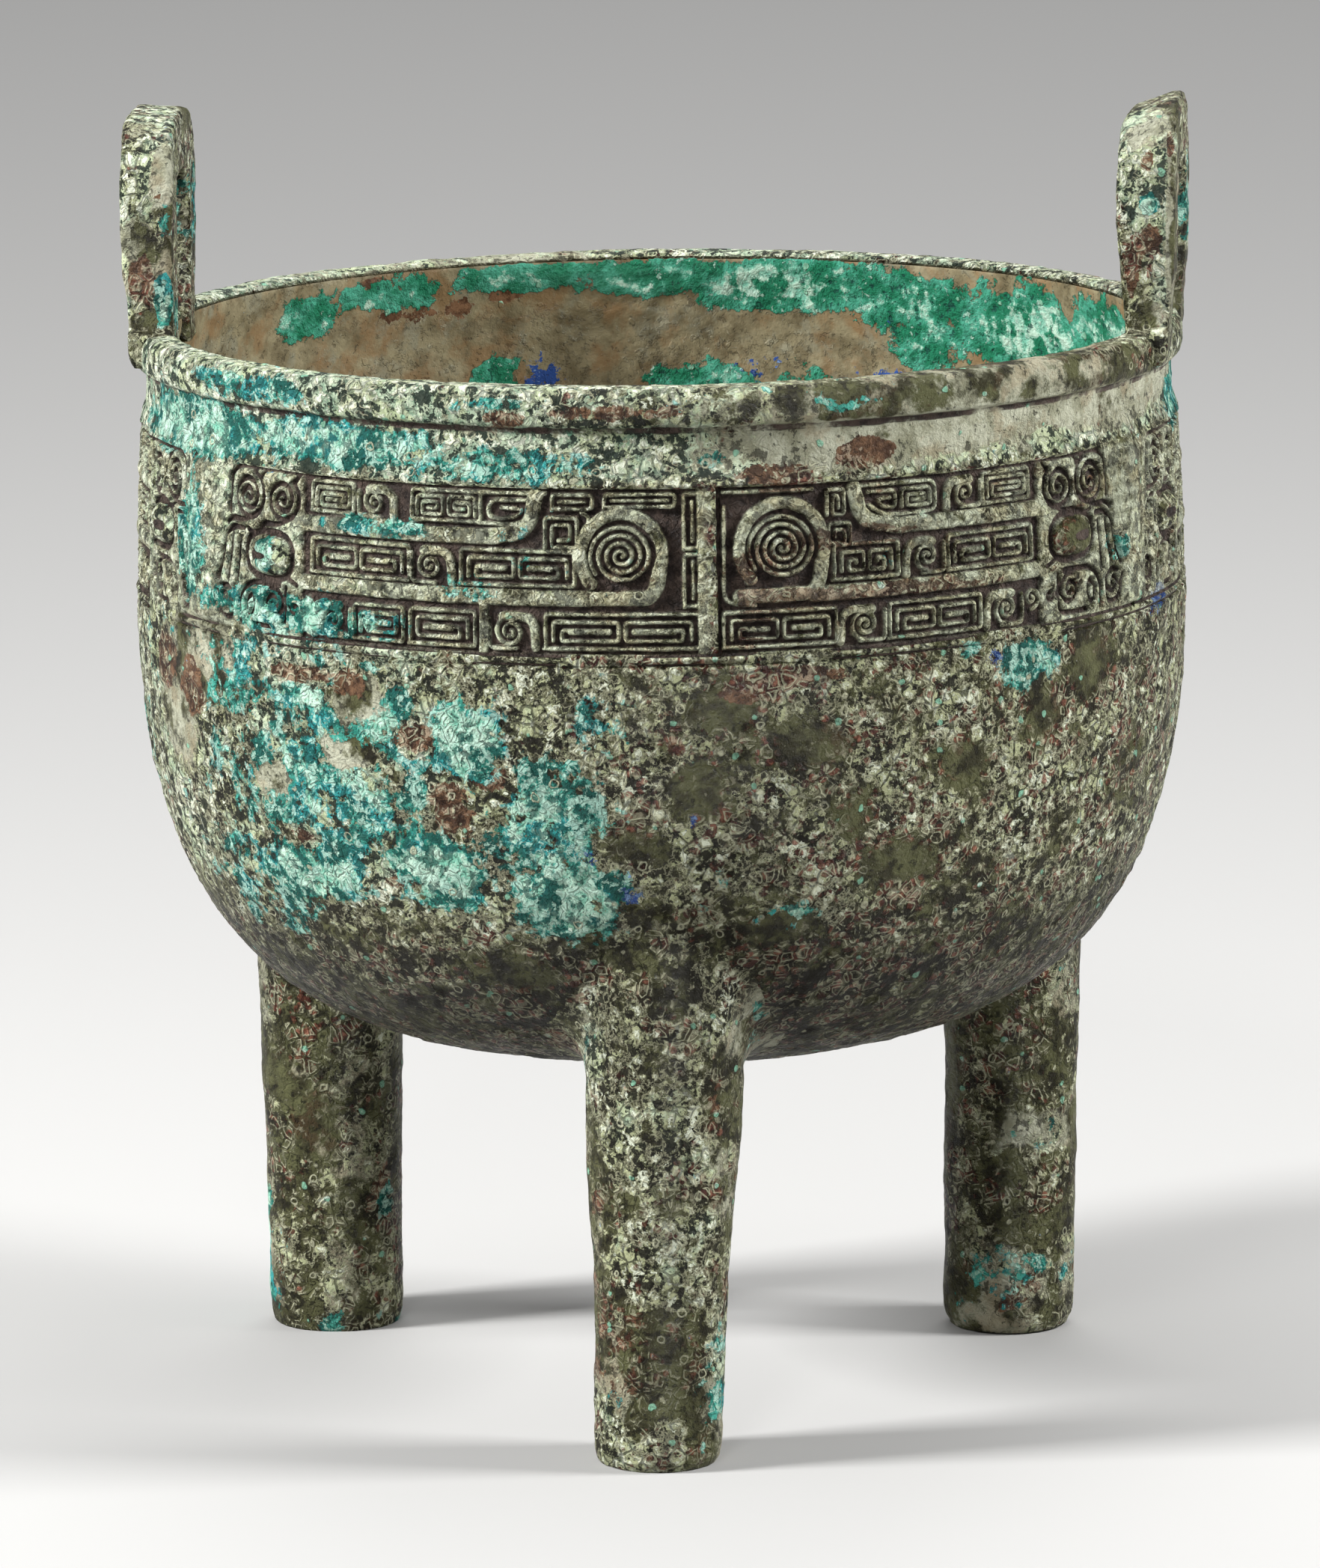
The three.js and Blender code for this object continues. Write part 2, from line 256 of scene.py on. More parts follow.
def underside_z(radius):
    """Height of the bowl's outer surface over a point at this distance from the axis."""
    share = np.clip(radius / GIRTH_RADIUS, 0, 1) ** SIDE_POWER
    return GIRTH_Z - (GIRTH_Z - BOWL_BOTTOM_Z) * (1 - share) ** (1 / SHOULDER_POWER)


def around(azimuth, radius, z):
    """Points at azimuths in degrees, counted from the front towards the right."""
    angle = np.radians(azimuth)
    return np.stack(np.broadcast_arrays(radius * np.sin(angle), -radius * np.cos(angle), z), -1)


def stand(points):
    """The upright vessel's points as it stands: turned by the roll about the Y axis, moved
    to where its axis meets the ground, and in metres."""
    x, y, z = np.moveaxis(np.asarray(points, float), -1, 0)
    leaned = np.stack([
        x * math.cos(ROLL) - z * math.sin(ROLL),
        y,
        x * math.sin(ROLL) + z * math.cos(ROLL),
    ], axis=-1)
    return (leaned + axis_foot) / 1000


print("wall radius at the band", outer_radius(np.array([141, 154, 167])).round(2))

# %% [markdown]
# ## Meshes
#
# Every piece is a loft: a row of closed loops of points, stitched into a skin and closed at
# both ends by a fan. Named values per point, such as how deep in a groove it lies, are kept
# on the mesh for the material to read.

# %% define the loft
def loft(name, loops, values, material):
    """A closed mesh through loops of upright points, an array (loops, points, 3). The end
    fans meet at the mean of the first and last loops. values holds arrays (loops, points)."""
    count, around_count = loops.shape[:2]
    ends = np.stack([loops[0].mean(axis=0), loops[-1].mean(axis=0)])
    points = stand(np.concatenate([loops.reshape(-1, 3), ends]))
    points[:, 2] = np.maximum(points[:, 2], 0)
    index = np.arange(count * around_count).reshape(count, around_count)
    ahead = np.roll(index, -1, axis=1)
    quads = np.stack([index[:-1], ahead[:-1], ahead[1:], index[1:]], axis=-1).reshape(-1, 4)
    first, last = count * around_count, count * around_count + 1
    start = np.stack([np.full(around_count, first), ahead[0], index[0]], axis=-1)
    end = np.stack([np.full(around_count, last), index[-1], ahead[-1]], axis=-1)
    triangles = np.concatenate([start, end])

    mesh = bpy.data.meshes.new(name)
    corner_count = quads.size + triangles.size
    face_count = len(quads) + len(triangles)
    mesh.vertices.add(len(points))
    mesh.vertices.foreach_set("co", points.astype(np.float32).ravel())
    mesh.loops.add(corner_count)
    mesh.loops.foreach_set("vertex_index", np.concatenate([quads.ravel(), triangles.ravel()]))
    mesh.polygons.add(face_count)
    starts = np.concatenate([
        np.arange(len(quads)) * 4,
        quads.size + np.arange(len(triangles)) * 3,
    ])
    mesh.polygons.foreach_set("loop_start", starts)
    mesh.polygons.foreach_set("use_smooth", np.ones(face_count, bool))
    mesh.update(calc_edges=True)
    for key, value in values.items():
        layer = mesh.attributes.new(key, "FLOAT", "POINT")
        both_ends = [value[0].mean(), value[-1].mean()]
        layer.data.foreach_set("value", np.concatenate([value.ravel(), both_ends]).astype(np.float32))
    mesh.materials.append(material)

    piece = bpy.data.objects.new(name, mesh)
    bpy.context.scene.collection.objects.link(piece)
    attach(piece, "root")
    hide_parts(VESSEL)
    print(f"{name}: {2 * len(quads) + len(triangles)} triangles")
    return piece


# %% [markdown]
# ## Where the corrosion lies
#
# The left of the bowl carries a thick malachite crust, and its right side a khaki one full of
# red grains. Smooth patches of the old surface show between them. Each patch is an ellipse on
# the wall, given by azimuth, height, half width in degrees and half height in millimetres.
# Noise in the material breaks up its edge.

# %% place the patches
MALACHITE = [
    (-21, 123, 5, 10, 0.95), (-13, 112, 8, 12, 0.72), (-10, 98, 8, 9, 0.8), (-26, 103, 7, 8, 0.95),
    (-44, 100, 8, 8, 0.75), (-60, 132, 16, 9, 0.65), (-36, 128, 12, 10, 0.6), (-40, 114, 20, 16, 0.52),
    (-52, 96, 14, 12, 0.48), (-46.4, 153.4, 1.5, 3, 0.95), (19, 180.5, 8, 2, 0.8),
    (-6, 130, 5, 8, 0.45), (14, 94, 5, 4, 0.7), (43, 134, 5, 6, 0.75),
    (33, 138, 5, 3, 0.5), (7, 98, 4, 6, 0.35), (-62, 172, 16, 5, 0.85), (-38, 173, 14, 4, 0.8),
    (-16, 171, 13, 4, 0.55), (6, 172, 4, 3, 0.6), (12, 169, 3, 2, 0.6), (83, 172, 7, 7, 0.8),
    (40, 170, 16, 2, 0.35), (-50, 181, 10, 3, 0.6), (-17, 180, 6, 3, 0.6), (2, 180, 5, 3, 0.55),
    (18, 183, 14, 1.6, 0.6), (58, 152, 3, 7, 0.5), (-61, 152, 4, 12, 0.75), (-44, 144, 16, 4, 0.7),
    (-32, 160, 9, 2.4, 0.6), (-22, 151, 8, 3, 0.4), (-14, 157, 5, 9, 0.4), (24, 155, 6, 3, 0.35),
    (150, 112, 26, 16, 0.5), (205, 128, 24, 12, 0.55), (96, 98, 14, 14, 0.45), (130, 172, 20, 4, 0.7),
    (200, 173, 24, 5, 0.6), (240, 150, 10, 10, 0.5), (170, 152, 8, 8, 0.5), (270, 116, 12, 14, 0.4),
]
SMOOTH = [
    (50, 154, 3, 4, 0.6), (7, 131, 4, 4, 0.9), (16, 124, 5, 4, 0.9), (4, 117, 3, 5, 0.8),
    (34, 119, 3, 4, 0.9),
    (45, 125, 3, 5, 0.8), (27, 103, 5, 4, 0.9), (21, 112, 2, 4, 0.7), (53, 132, 4, 6, 0.9),
    (-36, 122, 3, 3, 1.0), (-66, 122, 4, 8, 1.0), (-34, 131, 3, 4, 0.9), (-3, 108, 3, 3, 0.8),
    (12, 92, 5, 3, 0.7), (62, 112, 4, 7, 0.5), (-47, 115, 3, 3, 0.9), (-18, 84, 6, 4, 0.7),
    (110, 120, 12, 10, 0.8), (160, 92, 10, 6, 0.7), (250, 110, 12, 9, 0.8), (140, 130, 8, 6, 0.8),
    (58, 160, 5, 5, 0.6), (28, 175, 20, 5, 1.0), (60, 175, 18, 4, 1.0), (38, 181, 26, 4, 1.0),
    (205, 178, 30, 6, 0.8), (300, 134, 8, 8, 0.7),
]
RUST = [
    (-69, 131, 4, 5, 1.0), (-62, 128, 3, 6, 1.0), (-35, 133, 3, 3, 0.9), (-23, 114, 3, 7, 0.9),
    (-19, 119, 3, 4, 0.8), (-27, 125, 3, 3, 0.8), (-44, 106, 3, 2, 0.8), (-30, 100, 4, 2, 0.7),
    (9, 134, 4, 3, 0.8), (17, 136, 8, 2, 0.8), (12, 169, 5, 3, 0.8), (23, 172, 4, 3, 0.9),
    (-4, 180, 8, 2, 0.8), (-16, 178, 5, 3, 0.7), (10, 150, 3, 10, 0.6), (22, 149, 16, 2, 0.6),
    (20, 158.6, 9, 2.2, 0.6),
    (1, 125, 3, 3, 0.7), (24, 124, 3, 3, 0.6), (32, 96, 7, 3, 0.5), (-42, 134, 8, 2, 0.7),
    (120, 128, 12, 6, 0.7), (220, 104, 14, 8, 0.7), (180, 140, 20, 4, 0.6),
]
AZURITE = [(69, 139, 3, 3, 0.9), (-8, 106, 2, 2, 0.5), (-4, 100, 2, 4, 0.5), (3, 112, 2, 2, 0.5),
           (38, 136, 2, 2, 0.6)]


def fading(reach):
    """A patch's strength against the distance from its middle, counted in its half sizes: full
    up to 0.3, then falling along a bell to nothing at 1.6."""
    return 1 - smoothstep(0.3, 1.6, reach)


def patches(azimuth, z, places):
    """The strength at points of the wall of the ellipses in a list; where they overlap, the
    strongest counts."""
    most = np.zeros(np.broadcast(azimuth, z).shape)
    for at, height, half_angle, half_height, strength in places:
        turn = (azimuth - at + 180) % 360 - 180
        reach = np.sqrt((turn / half_angle) ** 2 + ((z - height) / half_height) ** 2)
        most = np.maximum(most, strength * fading(reach))
    return most


def corrosion(points):
    """The painted values at upright points of the outer wall: the patches, plus what changes
    slowly from left to right, from front to back and from the underside up to the lip."""
    azimuth = np.degrees(np.arctan2(points[..., 0], -points[..., 1]))
    z = points[..., 2]
    broad = fractal(points, 16, 4, seed=3) - 0.5
    left = smoothstep(4, -34, azimuth) * smoothstep(-178, -100, azimuth)
    behind = smoothstep(90, 150, np.abs(azimuth))
    low = smoothstep(104, 78, z)
    high = smoothstep(166, 171, z)
    lip = smoothstep(176.5, 178.5, z)
    rust = patches(azimuth, z, RUST)
    smooth = patches(azimuth, z, SMOOTH)
    green = patches(azimuth, z, MALACHITE) + 0.14 * left * (1 - low) + 0.1 * broad
    pale = 0.26 + 0.34 * left * (1 - low) + 0.15 * behind + 0.52 * high - 0.24 * lip
    pale = pale - 0.1 * low + broad * 0.4
    return {
        "green": green - 0.5 * rust - 0.4 * smooth,
        "smooth": smooth + 0.1 * low,
        "pale": np.clip(pale, 0, 1),
        "rust": rust,
        "blue": patches(azimuth, z, AZURITE),
        # dark is mostly painted shade: strongest on the underside, weaker away from the left side below the
        # neck. On the underside it is partly the bronze's own darker tone
        "dark": np.clip(low + 0.2 * (1 - left) * (1 - high) + broad * 0.3, 0, 1),
    }


def plain(points):
    """The rest of the painted values, for a surface outside with no carving on it."""
    return {key: np.zeros(points.shape[:2]) for key in ("groove", "worn", "inside")}


print(len(MALACHITE), "malachite patches,", len(SMOOTH), "smooth and", len(RUST), "brown ones")

# %% [markdown]
# ## Shader sums
#
# One material serves the whole casting, since it is all one metal. A small wrapper lets the
# sums in it be written as plain expressions: each adds its Math nodes. Colours go through Mix
# nodes instead, because a Math node would turn them grey.

# %% define the shader wrapper
def linear(code):
    """A colour from its six-digit screen code, as the linear values that shaders use."""
    parts = [int(code[i:i + 2], 16) / 255 for i in (0, 2, 4)]
    return tuple(((p + 0.055) / 1.055) ** 2.4 if p > 0.04045 else p / 12.92 for p in parts)


class Wire:
    """A socket that carries a number, with arithmetic that adds Math nodes."""

    def __init__(self, net, socket):
        self.net = net
        self.socket = socket

    def __add__(self, other):
        return self.net.number("ADD", self, other)

    def __sub__(self, other):
        return self.net.number("SUBTRACT", self, other)

    def __rsub__(self, other):
        return self.net.number("SUBTRACT", other, self)

    def __mul__(self, other):
        return self.net.number("MULTIPLY", self, other)

    __radd__ = __add__
    __rmul__ = __mul__


class Net:
    """The node tree of one material."""

    def __init__(self, name):
        """A new material with its shader and nothing plugged into it."""
        self.material = bpy.data.materials.new(name)
        self.material.use_nodes = True
        self.tree = self.material.node_tree
        self.shader = self.tree.nodes["Principled BSDF"]

    def plug(self, socket, value):
        """Links a wire or a socket to a socket, or sets a plain value on it."""
        if isinstance(value, Wire):
            value = value.socket
        if isinstance(value, bpy.types.NodeSocket):
            self.tree.links.new(value, socket)
        else:
            socket.default_value = value

    def node(self, kind, settings=None, sockets=None):
        """A node of a type, with its settings and its input sockets by name or number."""
        made = self.tree.nodes.new(kind)
        for key, value in (settings or {}).items():
            setattr(made, key, value)
        for key, value in (sockets or {}).items():
            self.plug(made.inputs[key], value)
        return made

    def number(self, operation, *values):
        """The result of a Math node on wires and plain numbers."""
        sockets = dict(enumerate(values))
        return Wire(self, self.node("ShaderNodeMath", {"operation": operation}, sockets).outputs[0])

    def named(self, attribute):
        """A value painted on the mesh."""
        made = self.node("ShaderNodeAttribute", {"attribute_name": attribute})
        return Wire(self, made.outputs["Fac"])

    def noise(self, place, size, detail, rough):
        """Noise from 0 to 1 whose largest lumps measure size millimetres. detail counts the
        finer layers, and rough is the weight of each against the one before."""
        sockets = {"Vector": place, "Scale": 1000 / size, "Detail": detail, "Roughness": rough}
        made = self.node("ShaderNodeTexNoise", {"noise_dimensions": "3D"}, sockets)
        return Wire(self, made.outputs["Fac"])

    def cells(self, place, size, feature="F1"):
        """Distance to scattered points about size millimetres apart, or to the borders of
        their cells, and a colour per point."""
        sockets = {"Vector": place, "Scale": 1000 / size}
        made = self.node("ShaderNodeTexVoronoi", {"feature": feature}, sockets)
        return Wire(self, made.outputs["Distance"]), made.outputs.get("Color")

    def shifted(self, place, by):
        """The same coordinates moved aside, in metres, for a second pattern."""
        sockets = {0: place, 1: (by, by, by)}
        return self.node("ShaderNodeVectorMath", {"operation": "ADD"}, sockets).outputs[0]

    def swirled(self, place, size, reach):
        """The coordinates pushed about by noise of a size, up to a reach, in millimetres."""
        by = reach / 1000
        sockets = {"Vector": place, "Scale": 1000 / size, "Detail": 2.0}
        push = self.node("ShaderNodeTexNoise", {"noise_dimensions": "3D"}, sockets).outputs["Color"]
        sockets = {0: push, 1: (by, by, by), 2: place}
        return self.node("ShaderNodeVectorMath", {"operation": "MULTIPLY_ADD"}, sockets).outputs[0]

    def red_of(self, colour):
        """A colour's red part, which serves as a random number for each cell."""
        return Wire(self, self.node("ShaderNodeSeparateColor", None, {0: colour}).outputs[0])

    def step(self, value, low, high):
        """0 under low, 1 over high and smooth between; low may be the greater."""
        sockets = {"Value": value, "From Min": low, "From Max": high}
        made = self.node("ShaderNodeMapRange", {"interpolation_type": "SMOOTHSTEP"}, sockets)
        return Wire(self, made.outputs["Result"])

    def blend(self, share, under, over):
        """One colour laid over another by a share from 0 to 1."""
        made = self.node("ShaderNodeMix", {"data_type": "RGBA"}, {"Factor": share})
        for number, colour in ((6, under), (7, over)):
            if isinstance(colour, str):
                colour = (*linear(colour), 1)
            self.plug(made.inputs[number], colour)
        return made.outputs[2]


PAINTED = ("green", "smooth", "pale", "rust", "blue", "dark", "groove", "worn", "inside")
print("the material reads", len(PAINTED), "painted values")

# %% [markdown]
# ## The layers of the patina
#
# Old bronze is a stack of layers: a thin skin on the metal, a khaki or milky crust, brown
# patches and red grains, pale threads round the pits, malachite, a little azurite, and earth
# in the carving. A painted texture map could show them, but would fit one shape only. Here each
# layer is a colour and a mask. The masks come from the values painted on the mesh, which say
# roughly where a layer lies, and from shared noises, which give it a ragged edge.

# %% gather what the layers share
def shared_masks(net):
    """The painted values, the noises from broad to fine, and the masks used more than once.
    The coordinates of the finest are swirled, so that grains don't line up in rows."""
    m = SimpleNamespace()
    for key in PAINTED:
        setattr(m, key, net.named(key))
    place = net.node("ShaderNodeTexCoord").outputs["Object"]
    m.swirl = net.swirled(place, 2.6, 1.5)
    m.broad = net.noise(place, 9, 7, 0.64)
    m.other = net.noise(net.shifted(place, 0.31), 7, 7, 0.66)
    m.third = net.noise(net.shifted(place, 0.67), 5, 6, 0.62)
    m.middle = net.noise(place, 2.6, 6, 0.7)
    m.fine = net.noise(m.swirl, 1.8, 4, 0.68)
    m.border = net.cells(m.swirl, 2.5, "DISTANCE_TO_EDGE")[0]

    # a few more dark gaps where dark is high: a little painted shade
    low = m.fine + (m.third - 0.5) * 0.4 + m.smooth * 0.1 + m.inside * 0.1 - m.dark * 0.03
    m.gap = net.step(low, 0.48, 0.45)
    high = m.fine + (m.other - 0.5) * 0.4 - m.smooth * 0.08 - m.inside * 0.08
    m.chip = net.step(high, 0.54, 0.57)
    m.rugged = net.step(m.smooth, 0.7, 0.3)
    brown = m.rust + m.worn * 0.18 + (m.other - 0.5) * 1.9 + (m.middle - 0.5) * 0.5
    m.browned = net.step(brown, 0.55, 0.59)
    green = m.green + (m.other - 0.5) * 1.7 + (m.middle - 0.5) * 1.1 + (m.fine - 0.5) * 0.5
    m.covered = net.step(green, 0.52, 0.58)
    return m


# %% define the skin and the crust
def bare_skin(net, m):
    """Dark olive where pale is low and grey where it is high, finely speckled."""
    # partly painted shade: the olive skin darkens where dark is high
    deep = net.blend(net.step(m.dark, 0.3, 0.9), "32301c", "1f1d10")
    skin = net.blend(net.step(m.third, 0.4, 0.6), deep, "5a5b3c")
    skin = net.blend(net.step(m.other, 0.54, 0.62) * 0.7, skin, "4a3a26")
    grey = net.blend(net.step(m.third, 0.36, 0.62), "8e8e76", "bbbca6")
    grey = net.blend(net.step(m.broad, 0.5, 0.6) * 0.5, grey, "97876a")
    skin = net.blend(net.step(m.pale + (m.broad - 0.5) * 1.2, 0.5, 0.62), skin, grey)
    skin = net.blend(m.chip * 0.35, skin, "b0ad92")
    return net.blend(m.gap * 0.7, skin, "15120b")


def crust_colour(net, m):
    """Khaki, or milky green where pale is high, with light chips, dark gaps and cracks."""
    khaki = net.blend(net.step(m.middle + (m.third - 0.5) * 0.5, 0.42, 0.56), "3a3b23", "b2b68e")
    milky = net.blend(net.step(m.middle, 0.36, 0.62), "78947c", "cfdcbe")
    milky = net.blend(net.step(m.broad, 0.5, 0.58) * 0.55, milky, "c6cc9c")
    crust = net.blend(net.step(m.pale + (m.third - 0.5) * 1.3, 0.5, 0.7), khaki, milky)
    crust = net.blend(m.chip * (0.74 + m.pale * 0.2), crust, "ecf2dc")
    gaps = net.blend(net.step(m.pale, 0.4, 0.8), "120e07", "1b2721")
    crust = net.blend(m.gap * 0.95, crust, gaps)
    return net.blend(m.crack * (0.9 - m.pale * 0.5), crust, gaps)


def skin_and_crust(net, m):
    """The crust over the skin, with a pale rim where it ends."""
    m.crack = net.step(m.border, 0.09, 0.04)
    m.crack = m.crack * net.step(m.third + (m.middle - 0.5) * 0.5, 0.47, 0.53)
    amount = (m.broad - 0.5) * 1.5 + (m.middle - 0.5) * 1.3 + m.pale * 0.36 + 0.03
    # less crust where dark is high, so more dark skin shows: partly painted shade
    amount = amount - m.smooth * 0.8 - m.dark * 0.17
    m.crusted = net.step(amount, 0.02, 0.06)
    rim = net.step(amount, 0.01, 0.04) * net.step(amount, 0.12, 0.08)
    colour = net.blend(m.crusted, bare_skin(net, m), crust_colour(net, m))
    return net.blend(rim * 0.5, colour, "cfceaa")


# %% define the brown, the red grains and the pale threads
def brown_and_red(net, m, colour):
    """Brown patches, and red-brown grains that lie in clusters."""
    brown = net.blend(net.step(m.middle, 0.4, 0.6), "463022", "785a42")
    brown = net.blend(m.chip * 0.5, brown, "c6b59a")
    brown = net.blend(m.gap * 0.7, brown, "24160f")
    colour = net.blend(m.browned, colour, brown)
    away, tint = net.cells(m.swirl, 1.5)
    cluster = m.other + (m.middle - 0.5) * 0.3 - m.green * 0.12 - m.pale * 0.22 - m.worn * 0.1
    m.grain = net.step(away + (m.fine - 0.5) * 0.5, 0.52, 0.44) * net.step(net.red_of(tint), 0.72, 0.7)
    m.grain = m.grain * net.step(cluster, 0.42, 0.48) * net.step(m.smooth, 0.75, 0.35)
    red = net.blend(net.step(m.fine, 0.42, 0.6), "4a251d", "965e49")
    return net.blend(m.grain * 0.85, colour, red)


def threads(net, m, colour):
    """Pale threads of crust, which run round the pits where two cells meet."""
    thread = net.step(m.border, 0.22, 0.16) * net.step(m.border, 0.08, 0.12)
    thread = thread * net.step(m.other + (m.fine - 0.5) * 0.6, 0.47, 0.55)
    m.thread = thread * m.rugged * (1 - m.inside)
    return net.blend(m.thread * 0.65, colour, "d2d2b0")


# %% define the copper greens and blue
def malachite(net, m, colour):
    """Deep green inside, teal outside, and mint where green is high."""
    patch = net.step(m.third, 0.42, 0.58)
    teal = net.blend(patch, "277e6e", "52b09e")
    teal = net.blend(net.step(m.broad, 0.5, 0.58) * 0.8, teal, "36a0a2")
    deep = net.blend(m.inside, teal, net.blend(patch, "1f7a58", "4fa88c"))
    mint = net.blend(net.step(m.middle, 0.4, 0.6), "7cc2a8", "c6e6d0")
    thick = net.step(m.green - m.inside * 0.25 + (m.third - 0.5) * 2.6, 0.72, 0.9)
    green = net.blend(thick, deep, mint)
    green = net.blend(m.chip * 0.62, green, "c4e6d4")
    green = net.blend(m.gap * 0.75, green, "184440")
    return net.blend(m.covered, colour, green)


def burst_bubbles(net, m, colour):
    """Stray mint chips, and pale rings round burst bubbles, one or the other to a cell."""
    bubble, tint = net.cells(m.swirl, 3.4)
    kind = net.red_of(tint)
    warped = bubble + (m.fine - 0.5) * 0.2
    m.stray = net.step(warped, 0.2, 0.15) * net.step(kind, 0.8, 0.82)
    colour = net.blend(m.stray * 0.9, colour, net.blend(m.chip, "8cc2a4", "d2e6d4"))
    ring = net.step(warped, 0.13, 0.17) * net.step(warped, 0.26, 0.21)
    ring = ring * net.step(kind, 0.44, 0.42) * net.step(kind, 0.1, 0.12)
    m.ring = ring * m.rugged * (1 - m.inside)
    return net.blend(m.ring * 0.7, colour, "d4d4b4")


def azurite(net, m, colour):
    """Blue spots."""
    m.azure = net.step(m.blue + (m.middle - 0.5) * 2.4 + (m.fine - 0.5) * 1.6, 0.62, 0.74)
    return net.blend(m.azure, colour, net.blend(m.chip, "2c4a8a", "7896c0"))


# %% define the lining, the earth and the shade
def lining(net, m, colour):
    """The smoother, browner inside, where no mineral covers it."""
    brown = net.blend(net.step(m.third, 0.34, 0.66), "655c45", "8b8266")
    brown = net.blend(net.step(m.broad, 0.46, 0.62) * 0.7, brown, "7d6242")
    brown = net.blend(net.step(m.other, 0.5, 0.64) * 0.7, brown, "7f7d6a")
    brown = net.blend(m.chip * 0.25, brown, "b0ad95")
    brown = net.blend(m.gap * 0.35, brown, "2c271d")
    bare = m.inside * (1 - m.covered) * (1 - m.azure) * (1 - m.browned)
    return net.blend(bare, colour, brown)


def earth_wear_and_painted_light(net, m, colour):
    """Dark earth in the carving, and a painted shadow in the corner under the lip. Pale ridge tops, partly
    real wear and partly a painted highlight. Painted shade where dark is high, mostly under the bowl; on
    the underside it is partly the bronze's own darker tone.
    """
    earth_and_shadow_colour = net.blend(net.step(m.middle, 0.38, 0.62), "2a2320", "4d413a")
    # this earth mask also carries the painted shadow that the bowl puts in the corner under the lip
    m.filled = net.step(m.groove + (m.middle - 0.5) * 0.5 - m.covered * 0.22, 0.42, 0.6)
    colour = net.blend(m.filled, colour, earth_and_shadow_colour)
    # pale ridge tops: partly real wear and partly a painted highlight
    face = m.worn * (1 - m.covered) * (1 - m.gap * 0.6) * (1 - m.browned * 0.75)
    face = face * net.step(m.middle, 0.36, 0.56)
    wear_and_highlight_colour = net.blend(net.step(m.other, 0.44, 0.58), "d4dac0", "bab48e")
    colour = net.blend(face * 0.72, colour, wear_and_highlight_colour)
    # painted shade: a near-black laid over wherever dark is high
    shade = net.step(m.dark + (m.broad - 0.5) * 0.5, 0.1, 1.3)
    return net.blend(shade * 0.42, colour, "16140b")


# %% mix the patina
BUMP_METRES = 0.0013
SHEEN = 0.16


def patina():
    """The corroded bronze: the layers in turn, then a bump in which crust and malachite
    stand up and gaps sink, and a roughness that follows the layers."""
    net = Net("patinated_bronze")
    m = shared_masks(net)
    colour = skin_and_crust(net, m)
    for layer in (brown_and_red, threads, malachite, burst_bubbles, azurite, lining, earth_wear_and_painted_light):
        colour = layer(net, m, colour)
    net.plug(net.shader.inputs["Base Color"], colour)

    lumps = m.crusted * 0.5 + m.covered * 0.6 + m.grain * 0.8 + m.ring * 0.6
    lumps = lumps + m.stray * 0.5 + m.thread * 0.5
    pits = m.gap * 0.8 * (1 - m.smooth * 0.5) + m.crack * 0.6 * (1 - m.smooth) * (1 - m.inside)
    level = 1 - m.inside * (1 - m.covered) * 0.85 - m.filled * 0.5
    height = (lumps - pits + m.middle * 1.8 + m.chip * 0.5) * level
    bump = net.node("ShaderNodeBump", None, {"Height": height, "Distance": BUMP_METRES})
    net.plug(net.shader.inputs["Normal"], bump.outputs["Normal"])
    rough = 0.42 + m.crusted * 0.12 + m.covered * 0.2 - m.grain * 0.12
    net.plug(net.shader.inputs["Roughness"], rough - m.inside * 0.06 + m.filled * 0.12)
    net.shader.inputs["Metallic"].default_value = 0.0
    net.shader.inputs["Specular IOR Level"].default_value = SHEEN
    return net.material


bronze = patina()
print("patina has", len(bronze.node_tree.nodes), "nodes")

# %% [markdown]
# ## Drawing the carving
#
# The band is drawn flat, with u along it and v up from its lower edge. A line is a row of
# points with a width. Drawing it lowers a field, which holds at each point of a grid the
# distance to the nearest drawn edge, negative inside a line. One field holds the ridges, the
# other the grooves cut into smooth faces. A sheet can be turned to count u from its far end.

# %% define the pen
UNTOUCHED = 5.0
PEN_MARGIN = 1.2


class Sheet:
    """A grid over part of the band, with one field for ridges and one for cut grooves."""

    def __init__(self, u, v):
        """An empty sheet: both fields far from any line, and u counted as it comes."""
        self.u = u
        self.v = v
        self.origin = 0
        self.way = 1
        self.ridge = np.full((len(u), len(v)), UNTOUCHED)
        self.cut = np.full((len(u), len(v)), UNTOUCHED)

    def count_from(self, origin, way):
        """Sets where u is counted from, and which way."""
        self.origin = origin
        self.way = way

    def draw(self, line, width, field="ridge"):
        """Lowers the field to the distance from the line less half its width, as far out as
        the margin."""
        values = getattr(self, field)
        reach = width / 2 + PEN_MARGIN
        line = [(self.origin + self.way * u, v) for u, v in line]
        for (u0, v0), (u1, v1) in zip(line[:-1], line[1:]):
            i0, i1 = np.searchsorted(self.u, [min(u0, u1) - reach, max(u0, u1) + reach])
            j0, j1 = np.searchsorted(self.v, [min(v0, v1) - reach, max(v0, v1) + reach])
            if i0 == i1 or j0 == j1:
                continue
            u = self.u[i0:i1, None]
            v = self.v[None, j0:j1]
            du, dv = u1 - u0, v1 - v0
            share = ((u - u0) * du + (v - v0) * dv) / max(du * du + dv * dv, 1e-9)
            share = np.clip(share, 0, 1)
            gap = np.hypot(u - u0 - share * du, v - v0 - share * dv) - width / 2
            values[i0:i1, j0:j1] = np.minimum(values[i0:i1, j0:j1], gap)


